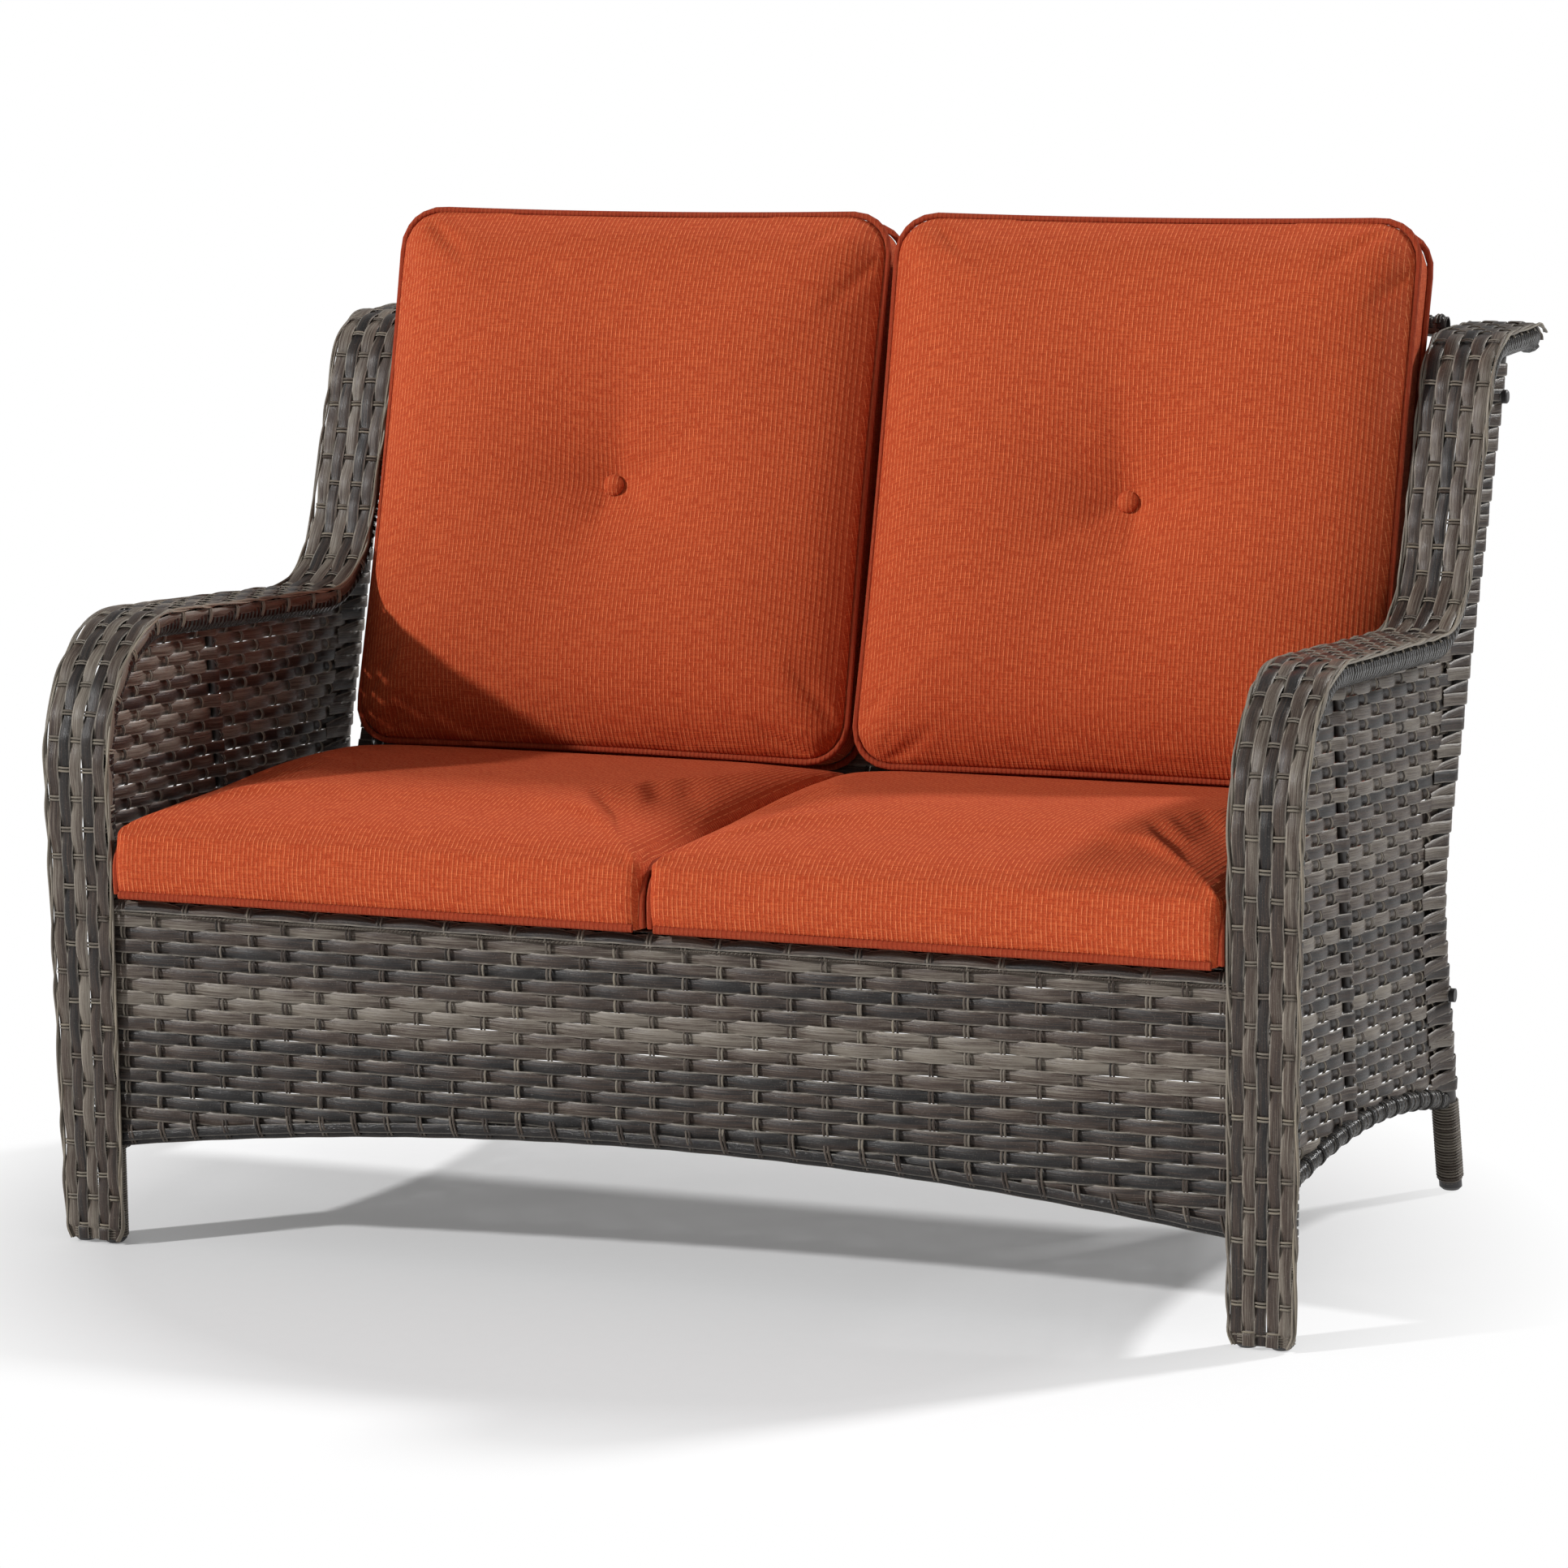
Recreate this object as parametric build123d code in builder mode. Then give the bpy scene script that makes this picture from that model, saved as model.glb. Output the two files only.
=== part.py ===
from build123d import *
from math import asin, ceil, cos, degrees, radians, sin, tan
import os

os.makedirs("parts", exist_ok=True)

# Woven patio loveseat in millimetres. X runs to the right as the seat is seen from the front,
# Y runs from the front legs to the back, Z runs up from the floor.
# The origin lies on the floor, in the middle of the seat's width and of its whole depth.
# Depths are given behind the front face of the front legs.

# Side frame, seen from the side
leg_rise = 487.0
arm_bend_radius = 150.0
arm_fall = 4.0
arm_run = 360.0
elbow_radius = 100.0
back_lean = 21.4
post_run = 175.0
crown_radius = 90.0
scroll_run = 116.0
tip_radius = 70.0
tip_turn = 34.0

# Side frame, seen from the front
leg_outer_x = 651.0
leg_inner_x = 589.0
outer_flare = 0.75
side_toe_out = 3.2

# Steel tubes, rails and bars
tube_radius = 12.0
rail_radius = 11.0
bar_radius = 8.0
rung_radius = 5.0
tube_wall = 1.5
fit_gap = 0.3

# Woven arm band
band_thickness = 3.0
band_strands = 5
groove_depth = 1.5
groove_width = 1.8
groove_overrun_turn = 3.0
edge_cord_radius = 2.2
cord_sides = 6

# Woven sheets
sheet_thickness = 2.6
rib_height = 1.2
side_row_pitch = 12.6
front_row_pitch = 13.4

# Feet and the winding round each lower rear leg
foot_height = 12.0
foot_edge = 3.5
winding_thickness = 1.2
winding_top_z = 86.0

# Rear legs
rear_foot_y = 660.0
knee_y = 579.0
knee_z = 336.0
knee_radius = 200.0

# Side panels: arched rail below and an upright bar that the strands go round
side_arch_end_z = 104.0
side_arch_mid_z = 141.0
side_arch_radius = 9.0
side_bar_radius = 5.0
side_bar_foot_y = 334.0
side_bar_top_y = 278.0
side_bar_cover = 1.8

# Skirt under the front of the seat
skirt_set_back = 9.0
skirt_top_z = 359.0
skirt_end_z = 108.0
skirt_mid_z = 150.0
skirt_arch_radius = 9.0
skirt_post_x = 300.0

# Seat frame and deck
seat_rail_z = 347.0
seat_rear_rail_y = 560.0
seat_side_rail_x = 562.0
cross_bar_x = 290.0
deck_thickness = 4.0
deck_edge_x = 578.0
deck_corner = 12.0

# Back frame
back_rail_radius = 10.0
back_rail_over_scroll = 1.1131
back_low_rail_radius = 9.0
back_low_rail_z = 236.0
back_upright_x = 583.5
back_upright_radius = 6.5
back_upright_foot_z = 204.0
back_sheet_drop = 24.0
back_sheet_offset = 3.0

# Bolts through the rear legs into the back frame
bolt_radius = 2.5
bolt_head_radius = 5.5
bolt_head_height = 4.0
washer_radius = 7.5
washer_thickness = 1.2
spacer_radius = 7.0
cap_radius = 7.2
cap_wall = 1.2
upper_bolt_drop = 70.0
lower_bolt_z = 220.0

# Cushions
cushion_inner_x = 3.4
cushion_outer_x = 582.0
welt_radius = 3.5
welt_sides = 6
welt_inset = 0.6
foam_wrap = 12.0
foam_corner = 20.0

seat_front_y = -4.0
seat_rear_y = 576.0
seat_gusset = 62.0
seat_thickness = 99.0
seat_front_roll = 95.0
seat_side_roll = 110.0
seat_rear_run = 390.0
seat_corner = 16.0
seat_pull = 0.8
seat_welt_inset = 1.5
seat_welt_bend = 36.0
# Rise, front, side and rear insets of each level, against thickness, front roll, side roll, rear run
seat_level_shares = (
    (0.0, 0.04, 0.03, 0.01),
    (0.33, -0.06, 0.01, 0.005),
    (0.63, -0.02, 0.0, 0.0),
    (0.68, 0.0, 0.012, 0.077),
    (0.82, 0.105, 0.09, 0.444),
    (0.93, 0.38, 0.36, 0.77),
    (1.0, 1.0, 1.0, 1.0),
)

cushion_lean = 16.0
back_front_y = 556.0
back_front_z = 437.0
back_height = 590.0
back_gusset = 54.0
back_corner = 46.0
back_pull = 1.0
back_rear_side_inset = 7.0
back_rear_low_inset = 5.0
front_crown = 44.0
front_crown_run = 125.0
# Rise of the front crown against its inset from the seam
front_crown_shares = ((0.0, 0.0), (0.27, 0.05), (0.58, 0.18), (0.84, 0.48), (1.0, 1.0))
rear_crown = 24.0
rear_crown_run = 130.0
rear_crown_low_run = 245.0
# Rise of the rear crown against its side and top inset and against its lower inset
rear_crown_shares = ((0.0, 0.0, 0.0), (0.24, 0.06, 0.14), (0.52, 0.18, 0.42), (0.8, 0.46, 0.75), (1.0, 1.0, 1.0))

button_rise = 291.0
button_radius = 11.0
button_height = 5.0
button_edge = 2.0
dimple_radius = 110.0
dimple_depth = 27.0
rear_dimple_radius = 55.0
rear_dimple_depth = 9.0
tie_radius = 1.5

overrun = 900.0


# Outline of the side frame


def reach(radius, start, end):
    """How far a bend carries the frame back, with headings in degrees from upright."""
    return radius * abs(cos(radians(start)) - cos(radians(end)))


def climb(radius, start, end):
    """How far a bend lifts or lowers the frame, with headings in degrees from upright."""
    return radius * (sin(radians(end)) - sin(radians(start)))


arm_heading = 90 + arm_fall
frame_depth = (
    reach(arm_bend_radius, 0, arm_heading)
    + arm_run * cos(radians(arm_fall))
    + reach(elbow_radius, arm_heading, back_lean)
    + post_run * sin(radians(back_lean))
    + reach(crown_radius, back_lean, 90)
    + scroll_run
    + reach(tip_radius, 90, 90 + tip_turn)
)
scroll_z = (
    leg_rise
    + climb(arm_bend_radius, 0, arm_heading)
    - arm_run * sin(radians(arm_fall))
    - climb(elbow_radius, arm_heading, back_lean)
    + post_run * cos(radians(back_lean))
    + climb(crown_radius, back_lean, 90)
)
back_rail_z = scroll_z + back_rail_over_scroll
back_sheet_top_z = back_rail_z - back_sheet_drop
upper_bolt_z = back_rail_z - upper_bolt_drop
seat_bulge = -min(seat_front_y + level[1] * seat_front_roll for level in seat_level_shares)
front_y = (seat_bulge - frame_depth) / 2

tube_inset = band_thickness + fit_gap + tube_radius
under_inset = tube_inset + tube_radius + fit_gap
tube_y = front_y + tube_inset
inner_tube_x = leg_inner_x + edge_cord_radius + tube_radius + fit_gap
outer_tube_x = leg_outer_x - edge_cord_radius - tube_radius - fit_gap
panel_x = inner_tube_x - edge_cord_radius * 2
sheet_depth = sheet_thickness + rib_height * 2

side_view = Plane(origin=(0, front_y, 0), x_dir=(0, 1, 0), z_dir=(1, 0, 0))
panel_plane = Plane(
    origin=(panel_x, tube_y, 0),
    x_dir=(sin(radians(side_toe_out)), cos(radians(side_toe_out)), 0),
    z_dir=(cos(radians(side_toe_out)), -sin(radians(side_toe_out)), 0),
)


def side_plane(x, flare):
    """Side view through a sideways place at the floor, tipped outwards by a flare in degrees."""
    normal = (cos(radians(flare)), 0, -sin(radians(flare)))
    return Plane(origin=(x, front_y, 0), x_dir=(0, 1, 0), z_dir=normal)


def arm_line(inset, low, cut=0.0):
    """The run from a foot over the arm and up to the scroll, set in from the woven face."""
    leg = Line((inset, low), (inset, leg_rise))
    bend = JernArc(leg @ 1, leg % 1, arm_bend_radius - inset, -arm_heading)
    arm = PolarLine(bend @ 1, arm_run, direction=bend % 1)
    elbow = JernArc(arm @ 1, arm % 1, elbow_radius + inset, arm_heading - back_lean)
    post = PolarLine(elbow @ 1, post_run, direction=elbow % 1)
    crown = JernArc(post @ 1, post % 1, crown_radius - inset, back_lean - 90)
    scroll = PolarLine(crown @ 1, scroll_run, direction=crown % 1)
    return JernArc(scroll @ 1, scroll % 1, tip_radius - inset, cut - tip_turn)


def panel_reach(y):
    """Distance along the toed-out side panel for a depth."""
    return (y - tube_inset) / cos(radians(side_toe_out))


def panel_side_x(y):
    """Sideways place of the side panel's middle plane at a depth."""
    return panel_x + (y - tube_inset) * tan(radians(side_toe_out))


def rear_line_y(z):
    """Depth of the rear leg's axis at a height, away from its rounded knee."""
    if z < knee_z:
        return knee_y + (knee_z - z) * (rear_foot_y - knee_y) / knee_z
    return knee_y + (z - knee_z) * tan(radians(back_lean))


def save(piece, name):
    """Label a piece and write its file."""
    piece.part.label = name
    export_step(piece.part, f"parts/{name}.step")


def save_pair(piece, name):
    """The right piece and its mirror image on the left."""
    save(piece, f"right_{name}")
    with BuildPart() as twin:
        mirror(piece.part, about=Plane.YZ)
    save(twin, f"left_{name}")


def tube_section(radius):
    """Section of a steel tube."""
    Circle(radius)
    Circle(radius - tube_wall, mode=Mode.SUBTRACT)


def start_plane(curve, across):
    """Plane square to the start of a curve."""
    return Plane(curve.line @ 0, x_dir=across, z_dir=curve.line % 0)


def cross_tube(y, z, end_x, radius):
    """A tube across the seat from side to side."""
    with BuildSketch(Plane(origin=(0, front_y + y, z), x_dir=(0, 1, 0), z_dir=(1, 0, 0))) as section:
        tube_section(radius)
    extrude(section.sketch, amount=end_x, both=True)


def strand_rows(plane, pitch, count):
    """Section across a woven sheet, standing on the plane's origin: a rounded strand on each row of its face."""
    half = sheet_depth / 2
    foot = rib_height - half
    with BuildSketch(plane) as rows:
        with BuildLine():
            for row in range(count):
                low = row * pitch
                ThreePointArc((foot, low), (-half, low + pitch / 2), (foot, low + pitch))
            Polyline((foot, 0), (half, 0), (half, count * pitch), (foot, count * pitch))
        make_face()
    return rows.sketch


# Arm tubes: each runs unbroken from the front foot over the arm and up to the scroll
tip_tube_radius = tip_radius - tube_inset
bar_turn = degrees(asin(tube_radius / tip_tube_radius))
tube_cut = bar_turn + degrees(asin((tube_radius + fit_gap) / tip_tube_radius))
for tube_x, flare, tube_name in (
    (inner_tube_x, 0, "inner_arm_tube"),
    (outer_tube_x, outer_flare, "outer_arm_tube"),
):
    with BuildPart() as arm_tube:
        with BuildLine(side_plane(tube_x, flare)) as arm_path:
            arm_line(tube_inset, foot_height, tube_cut)
        with BuildSketch(start_plane(arm_path, (1, 0, 0))):
            Circle(tube_radius)
        sweep(path=arm_path.line)
    save_pair(arm_tube, tube_name)


def outer_x(z):
    """Sideways place of the outer arm tube's axis at a height."""
    return outer_tube_x + z * tan(radians(outer_flare))


# Rungs that hold the two arm tubes apart, at shares of their run from the foot
rung_shares = (0.05, 0.2, 0.34, 0.5, 0.64, 0.78, 0.92)
rung_start_x = inner_tube_x + tube_radius + fit_gap
with BuildLine(side_view) as rung_path:
    arm_line(tube_inset, foot_height)
with BuildPart() as arm_rungs:
    for share in rung_shares:
        spot = rung_path.line @ share
        with BuildSketch(Plane(origin=(rung_start_x, spot.Y, spot.Z), x_dir=(0, 1, 0), z_dir=(1, 0, 0))):
            Circle(rung_radius)
        extrude(amount=outer_x(spot.Z) - tube_radius - fit_gap - rung_start_x)
save_pair(arm_rungs, "arm_rungs")

# Scroll bar: the rounded lip across the ends of the two tubes
band_inner_x = leg_inner_x + edge_cord_radius * 2 + fit_gap
band_outer_x = leg_outer_x - edge_cord_radius * 2 - fit_gap
scroll_bar_angle = radians(tip_turn - bar_turn)
scroll_bar_y = frame_depth - reach(tip_radius, 90, 90 + tip_turn) + tip_tube_radius * sin(scroll_bar_angle)
scroll_bar_z = scroll_z - tip_radius + tip_tube_radius * cos(scroll_bar_angle)
scroll_bar_start = Plane(
    origin=(band_inner_x, front_y + scroll_bar_y, scroll_bar_z), x_dir=(0, 1, 0), z_dir=(1, 0, 0)
)
with BuildPart() as scroll_bar:
    with BuildSketch(scroll_bar_start):
        tube_section(tube_radius)
    extrude(amount=band_outer_x - band_inner_x + scroll_z * tan(radians(outer_flare)))
save_pair(scroll_bar, "scroll_bar")

# Front feet: one glide under each arm tube, standing flat on the floor
with BuildPart() as front_feet:
    for foot_x in (inner_tube_x, outer_x(foot_height)):
        with BuildSketch(Plane(origin=(foot_x, tube_y, 0), x_dir=(1, 0, 0), z_dir=(0, 0, 1))):
            Circle(tube_radius)
        extrude(amount=foot_height - fit_gap)
    chamfer(front_feet.faces().sort_by(Axis.Z)[:2].edges(), foot_edge)
save_pair(front_feet, "front_feet")

# Grooves of the arm band: a layer along its face, kept where two strands meet and fanning with the flare
band_top_z = scroll_z + overrun
band_flare = band_top_z * tan(radians(outer_flare))
with BuildPart() as band_grooves:
    with BuildSketch(side_view):
        with BuildLine():
            open_line = arm_line(-groove_depth, 0, -groove_overrun_turn)
            floor_line = arm_line(groove_depth, 0, -groove_overrun_turn)
            Line((-groove_depth, 0), (groove_depth, 0))
            Line(open_line @ 1, floor_line @ 1)
        make_face()
    extrude(amount=overrun)
    with BuildSketch(Plane.XZ.offset(-overrun)):
        for groove in range(1, band_strands):
            share = groove / band_strands
            low_x = band_inner_x + (band_outer_x - band_inner_x) * share
            high_x = low_x + band_flare * share
            with BuildLine():
                Polyline(
                    (low_x - groove_width / 2, 0),
                    (low_x + groove_width / 2, 0),
                    (high_x + groove_width / 2, band_top_z),
                    (high_x - groove_width / 2, band_top_z),
                    close=True,
                )
            make_face()
    extrude(amount=overrun * 2, mode=Mode.INTERSECT)

# Arm band: woven skin over both tubes, grooved between its five lengthwise strands
with BuildPart() as arm_band:
    with BuildSketch(side_view):
        with BuildLine():
            face_line = arm_line(0, foot_height)
            back_line = arm_line(band_thickness, foot_height)
            Line((0, foot_height), (band_thickness, foot_height))
            Line(face_line @ 1, back_line @ 1)
        make_face()
    extrude(amount=overrun)
    with BuildSketch(Plane.XZ.offset(-overrun)):
        with BuildLine():
            Polyline(
                (band_inner_x, 0),
                (band_outer_x, 0),
                (band_outer_x + band_flare, band_top_z),
                (band_inner_x, band_top_z),
                close=True,
            )
        make_face()
    extrude(amount=overrun * 2, mode=Mode.INTERSECT)
    add(band_grooves.part, mode=Mode.SUBTRACT)
save_pair(arm_band, "arm_band")

# Edge cords: a twisted pair of strands down each edge of the band
with BuildPart() as edge_cords:
    for cord_x, flare in (
        (leg_inner_x + edge_cord_radius, 0),
        (leg_outer_x - edge_cord_radius, outer_flare),
    ):
        with BuildLine(side_plane(cord_x, flare)) as cord_path:
            arm_line(edge_cord_radius, foot_height)
        with BuildSketch(start_plane(cord_path, (1, 0, 0))):
            RegularPolygon(edge_cord_radius, cord_sides)
        sweep(path=cord_path.line)
save_pair(edge_cords, "edge_cords")

# Rear leg: from the rear foot up to a knee, then leaning back to the underside of the scroll
leg_splay = (rear_foot_y - knee_y) / knee_z
leg_top_z = scroll_z - under_inset
leg_corners = (
    (rear_foot_y + leg_splay * foot_height, -foot_height),
    (knee_y, knee_z),
    (rear_line_y(scroll_z), scroll_z),
)
with BuildLine(panel_plane) as leg_path:
    FilletPolyline(*((panel_reach(y), z) for y, z in leg_corners), radius=knee_radius)
with BuildPart() as rear_leg:
    with BuildSketch(start_plane(leg_path, panel_plane.z_dir)):
        tube_section(tube_radius)
    sweep(path=leg_path.line)
    split(bisect_by=Plane.XY.offset(foot_height), keep=Keep.TOP)
    split(bisect_by=Plane.XY.offset(leg_top_z), keep=Keep.BOTTOM)
    for bolt_z in (upper_bolt_z, lower_bolt_z):
        bolt_y = front_y + rear_line_y(bolt_z)
        with BuildSketch(Plane(origin=(0, bolt_y, bolt_z), x_dir=(0, 1, 0), z_dir=(1, 0, 0))):
            Circle(bolt_radius + fit_gap)
        extrude(amount=overrun, mode=Mode.SUBTRACT)
save_pair(rear_leg, "rear_leg")

# Space that a rear leg takes up, with its fitting gap: what meets the leg is coped to it
with BuildPart() as leg_space:
    with BuildSketch(start_plane(leg_path, panel_plane.z_dir)):
        Circle(tube_radius + fit_gap)
    sweep(path=leg_path.line)

# Rear foot: a rounded cap, standing flat on the floor
rear_foot = Plane(origin=(panel_side_x(rear_foot_y), front_y + rear_foot_y, 0), z_dir=(0, 0, 1))
with BuildPart() as rear_foot_cap:
    with BuildSketch(rear_foot):
        Circle(tube_radius)
    extrude(amount=(foot_height - fit_gap) / (leg_path.line % 0).Z, dir=leg_path.line % 0)
    chamfer(rear_foot_cap.faces().sort_by(Axis.Z)[0].edges(), foot_edge)
save_pair(rear_foot_cap, "rear_foot")

# Winding: a thin strand wound round the rear leg below the side panel
with BuildPart() as leg_winding:
    with BuildSketch(start_plane(leg_path, panel_plane.z_dir)):
        Circle(tube_radius + fit_gap + winding_thickness)
        Circle(tube_radius + fit_gap, mode=Mode.SUBTRACT)
    sweep(path=leg_path.line)
    split(bisect_by=Plane.XY.offset(foot_height), keep=Keep.TOP)
    split(bisect_by=Plane.XY.offset(winding_top_z), keep=Keep.BOTTOM)
save_pair(leg_winding, "rear_leg_winding")

# Arch under the side panel, as part of a circle through its ends and its middle
side_arch_rear_y = rear_line_y(side_arch_end_z) - tube_radius
side_arch_mid_y = (under_inset + side_arch_rear_y) / 2
side_arch_half = (side_arch_rear_y - under_inset) / 2
side_arch_rise = side_arch_mid_z - side_arch_end_z
side_arch_curve = (side_arch_half**2 + side_arch_rise**2) / (2 * side_arch_rise)
side_arch_centre_z = side_arch_mid_z - side_arch_curve
side_arch_angle = degrees(asin((side_arch_half + tube_radius) / side_arch_curve))
behind_leg_tube = Plane(origin=(0, tube_y + tube_radius + fit_gap, 0), x_dir=(1, 0, 0), z_dir=(0, 1, 0))
with BuildPart() as side_arch_rail:
    with BuildLine(panel_plane) as side_arch_path:
        arch_centre = (panel_reach(side_arch_mid_y), side_arch_centre_z)
        CenterArc(arch_centre, side_arch_curve, 90 - side_arch_angle, 2 * side_arch_angle)
    with BuildSketch(start_plane(side_arch_path, panel_plane.z_dir)):
        tube_section(side_arch_radius)
    sweep(path=side_arch_path.line)
    split(bisect_by=behind_leg_tube, keep=Keep.TOP)
    add(leg_space.part, mode=Mode.SUBTRACT)
save_pair(side_arch_rail, "side_arch_rail")

# Side view of the space that a side panel fills: under the arm, up to the rear leg, over the arch
with BuildSketch(side_view) as side_space:
    with BuildLine():
        under_arm = arm_line(under_inset, 0)
        Polyline(under_arm @ 1, (frame_depth, 0), (under_inset, 0))
    make_face()
    with BuildLine():
        rear_edge = FilletPolyline(*leg_corners, radius=knee_radius)
        Polyline(rear_edge @ 1, (0, scroll_z), (0, -foot_height), rear_edge @ 0)
    make_face(mode=Mode.INTERSECT)
    with Locations((side_arch_mid_y, side_arch_centre_z)):
        Circle(side_arch_curve + side_arch_radius + fit_gap, mode=Mode.SUBTRACT)

# Upright bar in the middle of the side panel
with BuildLine(panel_plane) as side_bar_path:
    Line((panel_reach(side_bar_foot_y), side_arch_end_z), (panel_reach(side_bar_top_y), leg_rise + arm_bend_radius))
with BuildPart() as side_upright:
    with BuildSketch(start_plane(side_bar_path, panel_plane.z_dir)):
        Circle(side_bar_radius)
    sweep(path=side_bar_path.line)
    extrude(side_space.sketch, amount=overrun, mode=Mode.INTERSECT)
save_pair(side_upright, "side_upright")

# Side panel: rows of flat strands that fall to the rear with the arm, woven round the upright bar
row_direction = panel_plane.x_dir * cos(radians(arm_fall)) - Vector(0, 0, sin(radians(arm_fall)))
row_base_z = side_arch_end_z - side_row_pitch
row_top_z = scroll_z + frame_depth * tan(radians(arm_fall))
side_rows = ceil((row_top_z - row_base_z) / side_row_pitch)
row_start = Plane(origin=(panel_x, tube_y, row_base_z), x_dir=-panel_plane.z_dir, z_dir=row_direction)
with BuildPart() as side_panel:
    extrude(strand_rows(row_start, side_row_pitch, side_rows), amount=frame_depth)
    with BuildSketch(start_plane(side_bar_path, panel_plane.z_dir)):
        Circle(side_bar_radius + fit_gap + side_bar_cover)
    sweep(path=side_bar_path.line)
    extrude(side_space.sketch, amount=overrun, mode=Mode.INTERSECT)
    with BuildSketch(start_plane(side_bar_path, panel_plane.z_dir)):
        Circle(side_bar_radius + fit_gap)
    sweep(path=side_bar_path.line, mode=Mode.SUBTRACT)
    add(leg_space.part, mode=Mode.SUBTRACT)
save_pair(side_panel, "side_panel")

# Skirt: its lower edge is part of a circle, and its rails stand right behind the woven sheet
rail_end_x = inner_tube_x - tube_radius - fit_gap
skirt_rise = skirt_mid_z - skirt_end_z
skirt_curve = (rail_end_x**2 + skirt_rise**2) / (2 * skirt_rise)
skirt_centre_z = skirt_mid_z - skirt_curve
skirt_back_y = skirt_set_back + sheet_depth + fit_gap
front_rail_y = skirt_back_y + rail_radius
skirt_rows = ceil((skirt_top_z - skirt_end_z) / front_row_pitch)
skirt_start = Plane(
    origin=(0, front_y + skirt_set_back + sheet_depth / 2, skirt_top_z - skirt_rows * front_row_pitch),
    x_dir=(0, 1, 0),
    z_dir=(1, 0, 0),
)
front_view = Plane(origin=(0, front_y, 0), x_dir=(1, 0, 0), z_dir=(0, -1, 0))
with BuildPart() as skirt_weave:
    extrude(strand_rows(skirt_start, front_row_pitch, skirt_rows), amount=rail_end_x, both=True)
    with BuildSketch(front_view):
        with Locations((0, skirt_centre_z)):
            Circle(skirt_curve)
    extrude(amount=overrun, both=True, mode=Mode.SUBTRACT)
save(skirt_weave, "skirt_weave")

with BuildPart() as skirt_top_rail:
    cross_tube(front_rail_y, seat_rail_z, rail_end_x, rail_radius)
save(skirt_top_rail, "skirt_top_rail")

skirt_arch_y = front_y + skirt_back_y + skirt_arch_radius
skirt_arch_path_radius = skirt_curve + skirt_arch_radius
skirt_arch_angle = degrees(asin(rail_end_x / skirt_arch_path_radius))
with BuildPart() as skirt_arch_rail:
    with BuildLine(Plane(origin=(0, skirt_arch_y, 0), x_dir=(1, 0, 0), z_dir=(0, -1, 0))) as skirt_arch_path:
        CenterArc((0, skirt_centre_z), skirt_arch_path_radius, 90 - skirt_arch_angle, 2 * skirt_arch_angle)
    with BuildSketch(start_plane(skirt_arch_path, (0, 1, 0))):
        tube_section(skirt_arch_radius)
    sweep(path=skirt_arch_path.line)
    for side in (-1, 1):
        inside = Plane(origin=(side * rail_end_x, 0, 0), x_dir=(0, 1, 0), z_dir=(-side, 0, 0))
        split(bisect_by=inside, keep=Keep.TOP)
save(skirt_arch_rail, "skirt_arch_rail")

# Skirt posts between the arch rail and the top rail
skirt_post_y = front_y + skirt_back_y + bar_radius
with BuildPart() as skirt_posts:
    for post_x in (-skirt_post_x, skirt_post_x):
        arch_z = skirt_centre_z + (skirt_arch_path_radius**2 - post_x**2) ** 0.5
        with BuildSketch(Plane(origin=(post_x, skirt_post_y, arch_z), x_dir=(1, 0, 0), z_dir=(0, 0, 1))):
            tube_section(bar_radius)
        extrude(amount=seat_rail_z - arch_z)
    with BuildSketch(start_plane(skirt_arch_path, (0, 1, 0))):
        Circle(skirt_arch_radius + fit_gap)
    sweep(path=skirt_arch_path.line, mode=Mode.SUBTRACT)
    with BuildSketch(Plane(origin=(0, front_y + front_rail_y, seat_rail_z), x_dir=(0, 1, 0), z_dir=(1, 0, 0))):
        Circle(rail_radius + fit_gap)
    extrude(amount=rail_end_x, both=True, mode=Mode.SUBTRACT)
save(skirt_posts, "skirt_posts")

# Seat frame: a rear rail between the side panels, with side rails and cross bars to the front rail
rear_rail_end_x = panel_side_x(seat_rear_rail_y - rail_radius) - sheet_depth / 2 - fit_gap
with BuildPart() as seat_rear_rail:
    cross_tube(seat_rear_rail_y, seat_rail_z, rear_rail_end_x, rail_radius)
save(seat_rear_rail, "seat_rear_rail")

bar_z = seat_rail_z + rail_radius - bar_radius
bar_front_y = front_rail_y + rail_radius + fit_gap
bar_length = seat_rear_rail_y - rail_radius - fit_gap - bar_front_y
for places, bars_name in (
    ((-seat_side_rail_x, seat_side_rail_x), "seat_side_rails"),
    ((-cross_bar_x, 0, cross_bar_x), "seat_cross_bars"),
):
    with BuildPart() as seat_bars:
        for bar_x in places:
            bar_start = Plane(origin=(bar_x, front_y + bar_front_y, bar_z), x_dir=(1, 0, 0), z_dir=(0, 1, 0))
            with BuildSketch(bar_start):
                tube_section(bar_radius)
            extrude(amount=bar_length)
    save(seat_bars, bars_name)

# Seat deck: a woven sheet that lies on the rails and carries the cushions
deck_z = seat_rail_z + rail_radius + fit_gap
deck_front_y = skirt_back_y
deck_rear_y = seat_rear_rail_y + rail_radius
with BuildPart() as seat_deck:
    deck_middle_y = front_y + (deck_front_y + deck_rear_y) / 2
    with BuildSketch(Plane(origin=(0, deck_middle_y, deck_z), x_dir=(1, 0, 0), z_dir=(0, 0, 1))):
        RectangleRounded(deck_edge_x * 2, deck_rear_y - deck_front_y, deck_corner)
    extrude(amount=deck_thickness)
save(seat_deck, "seat_deck")

# Back frame: it follows the rear legs' line between the two sides
back_rail_y = rear_line_y(back_rail_z)
back_low_rail_y = rear_line_y(back_low_rail_z)
back_inner_x = back_upright_x - back_upright_radius - fit_gap
with BuildPart() as back_top_rail:
    cross_tube(back_rail_y, back_rail_z, leg_inner_x - fit_gap, back_rail_radius)
save(back_top_rail, "back_top_rail")

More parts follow.
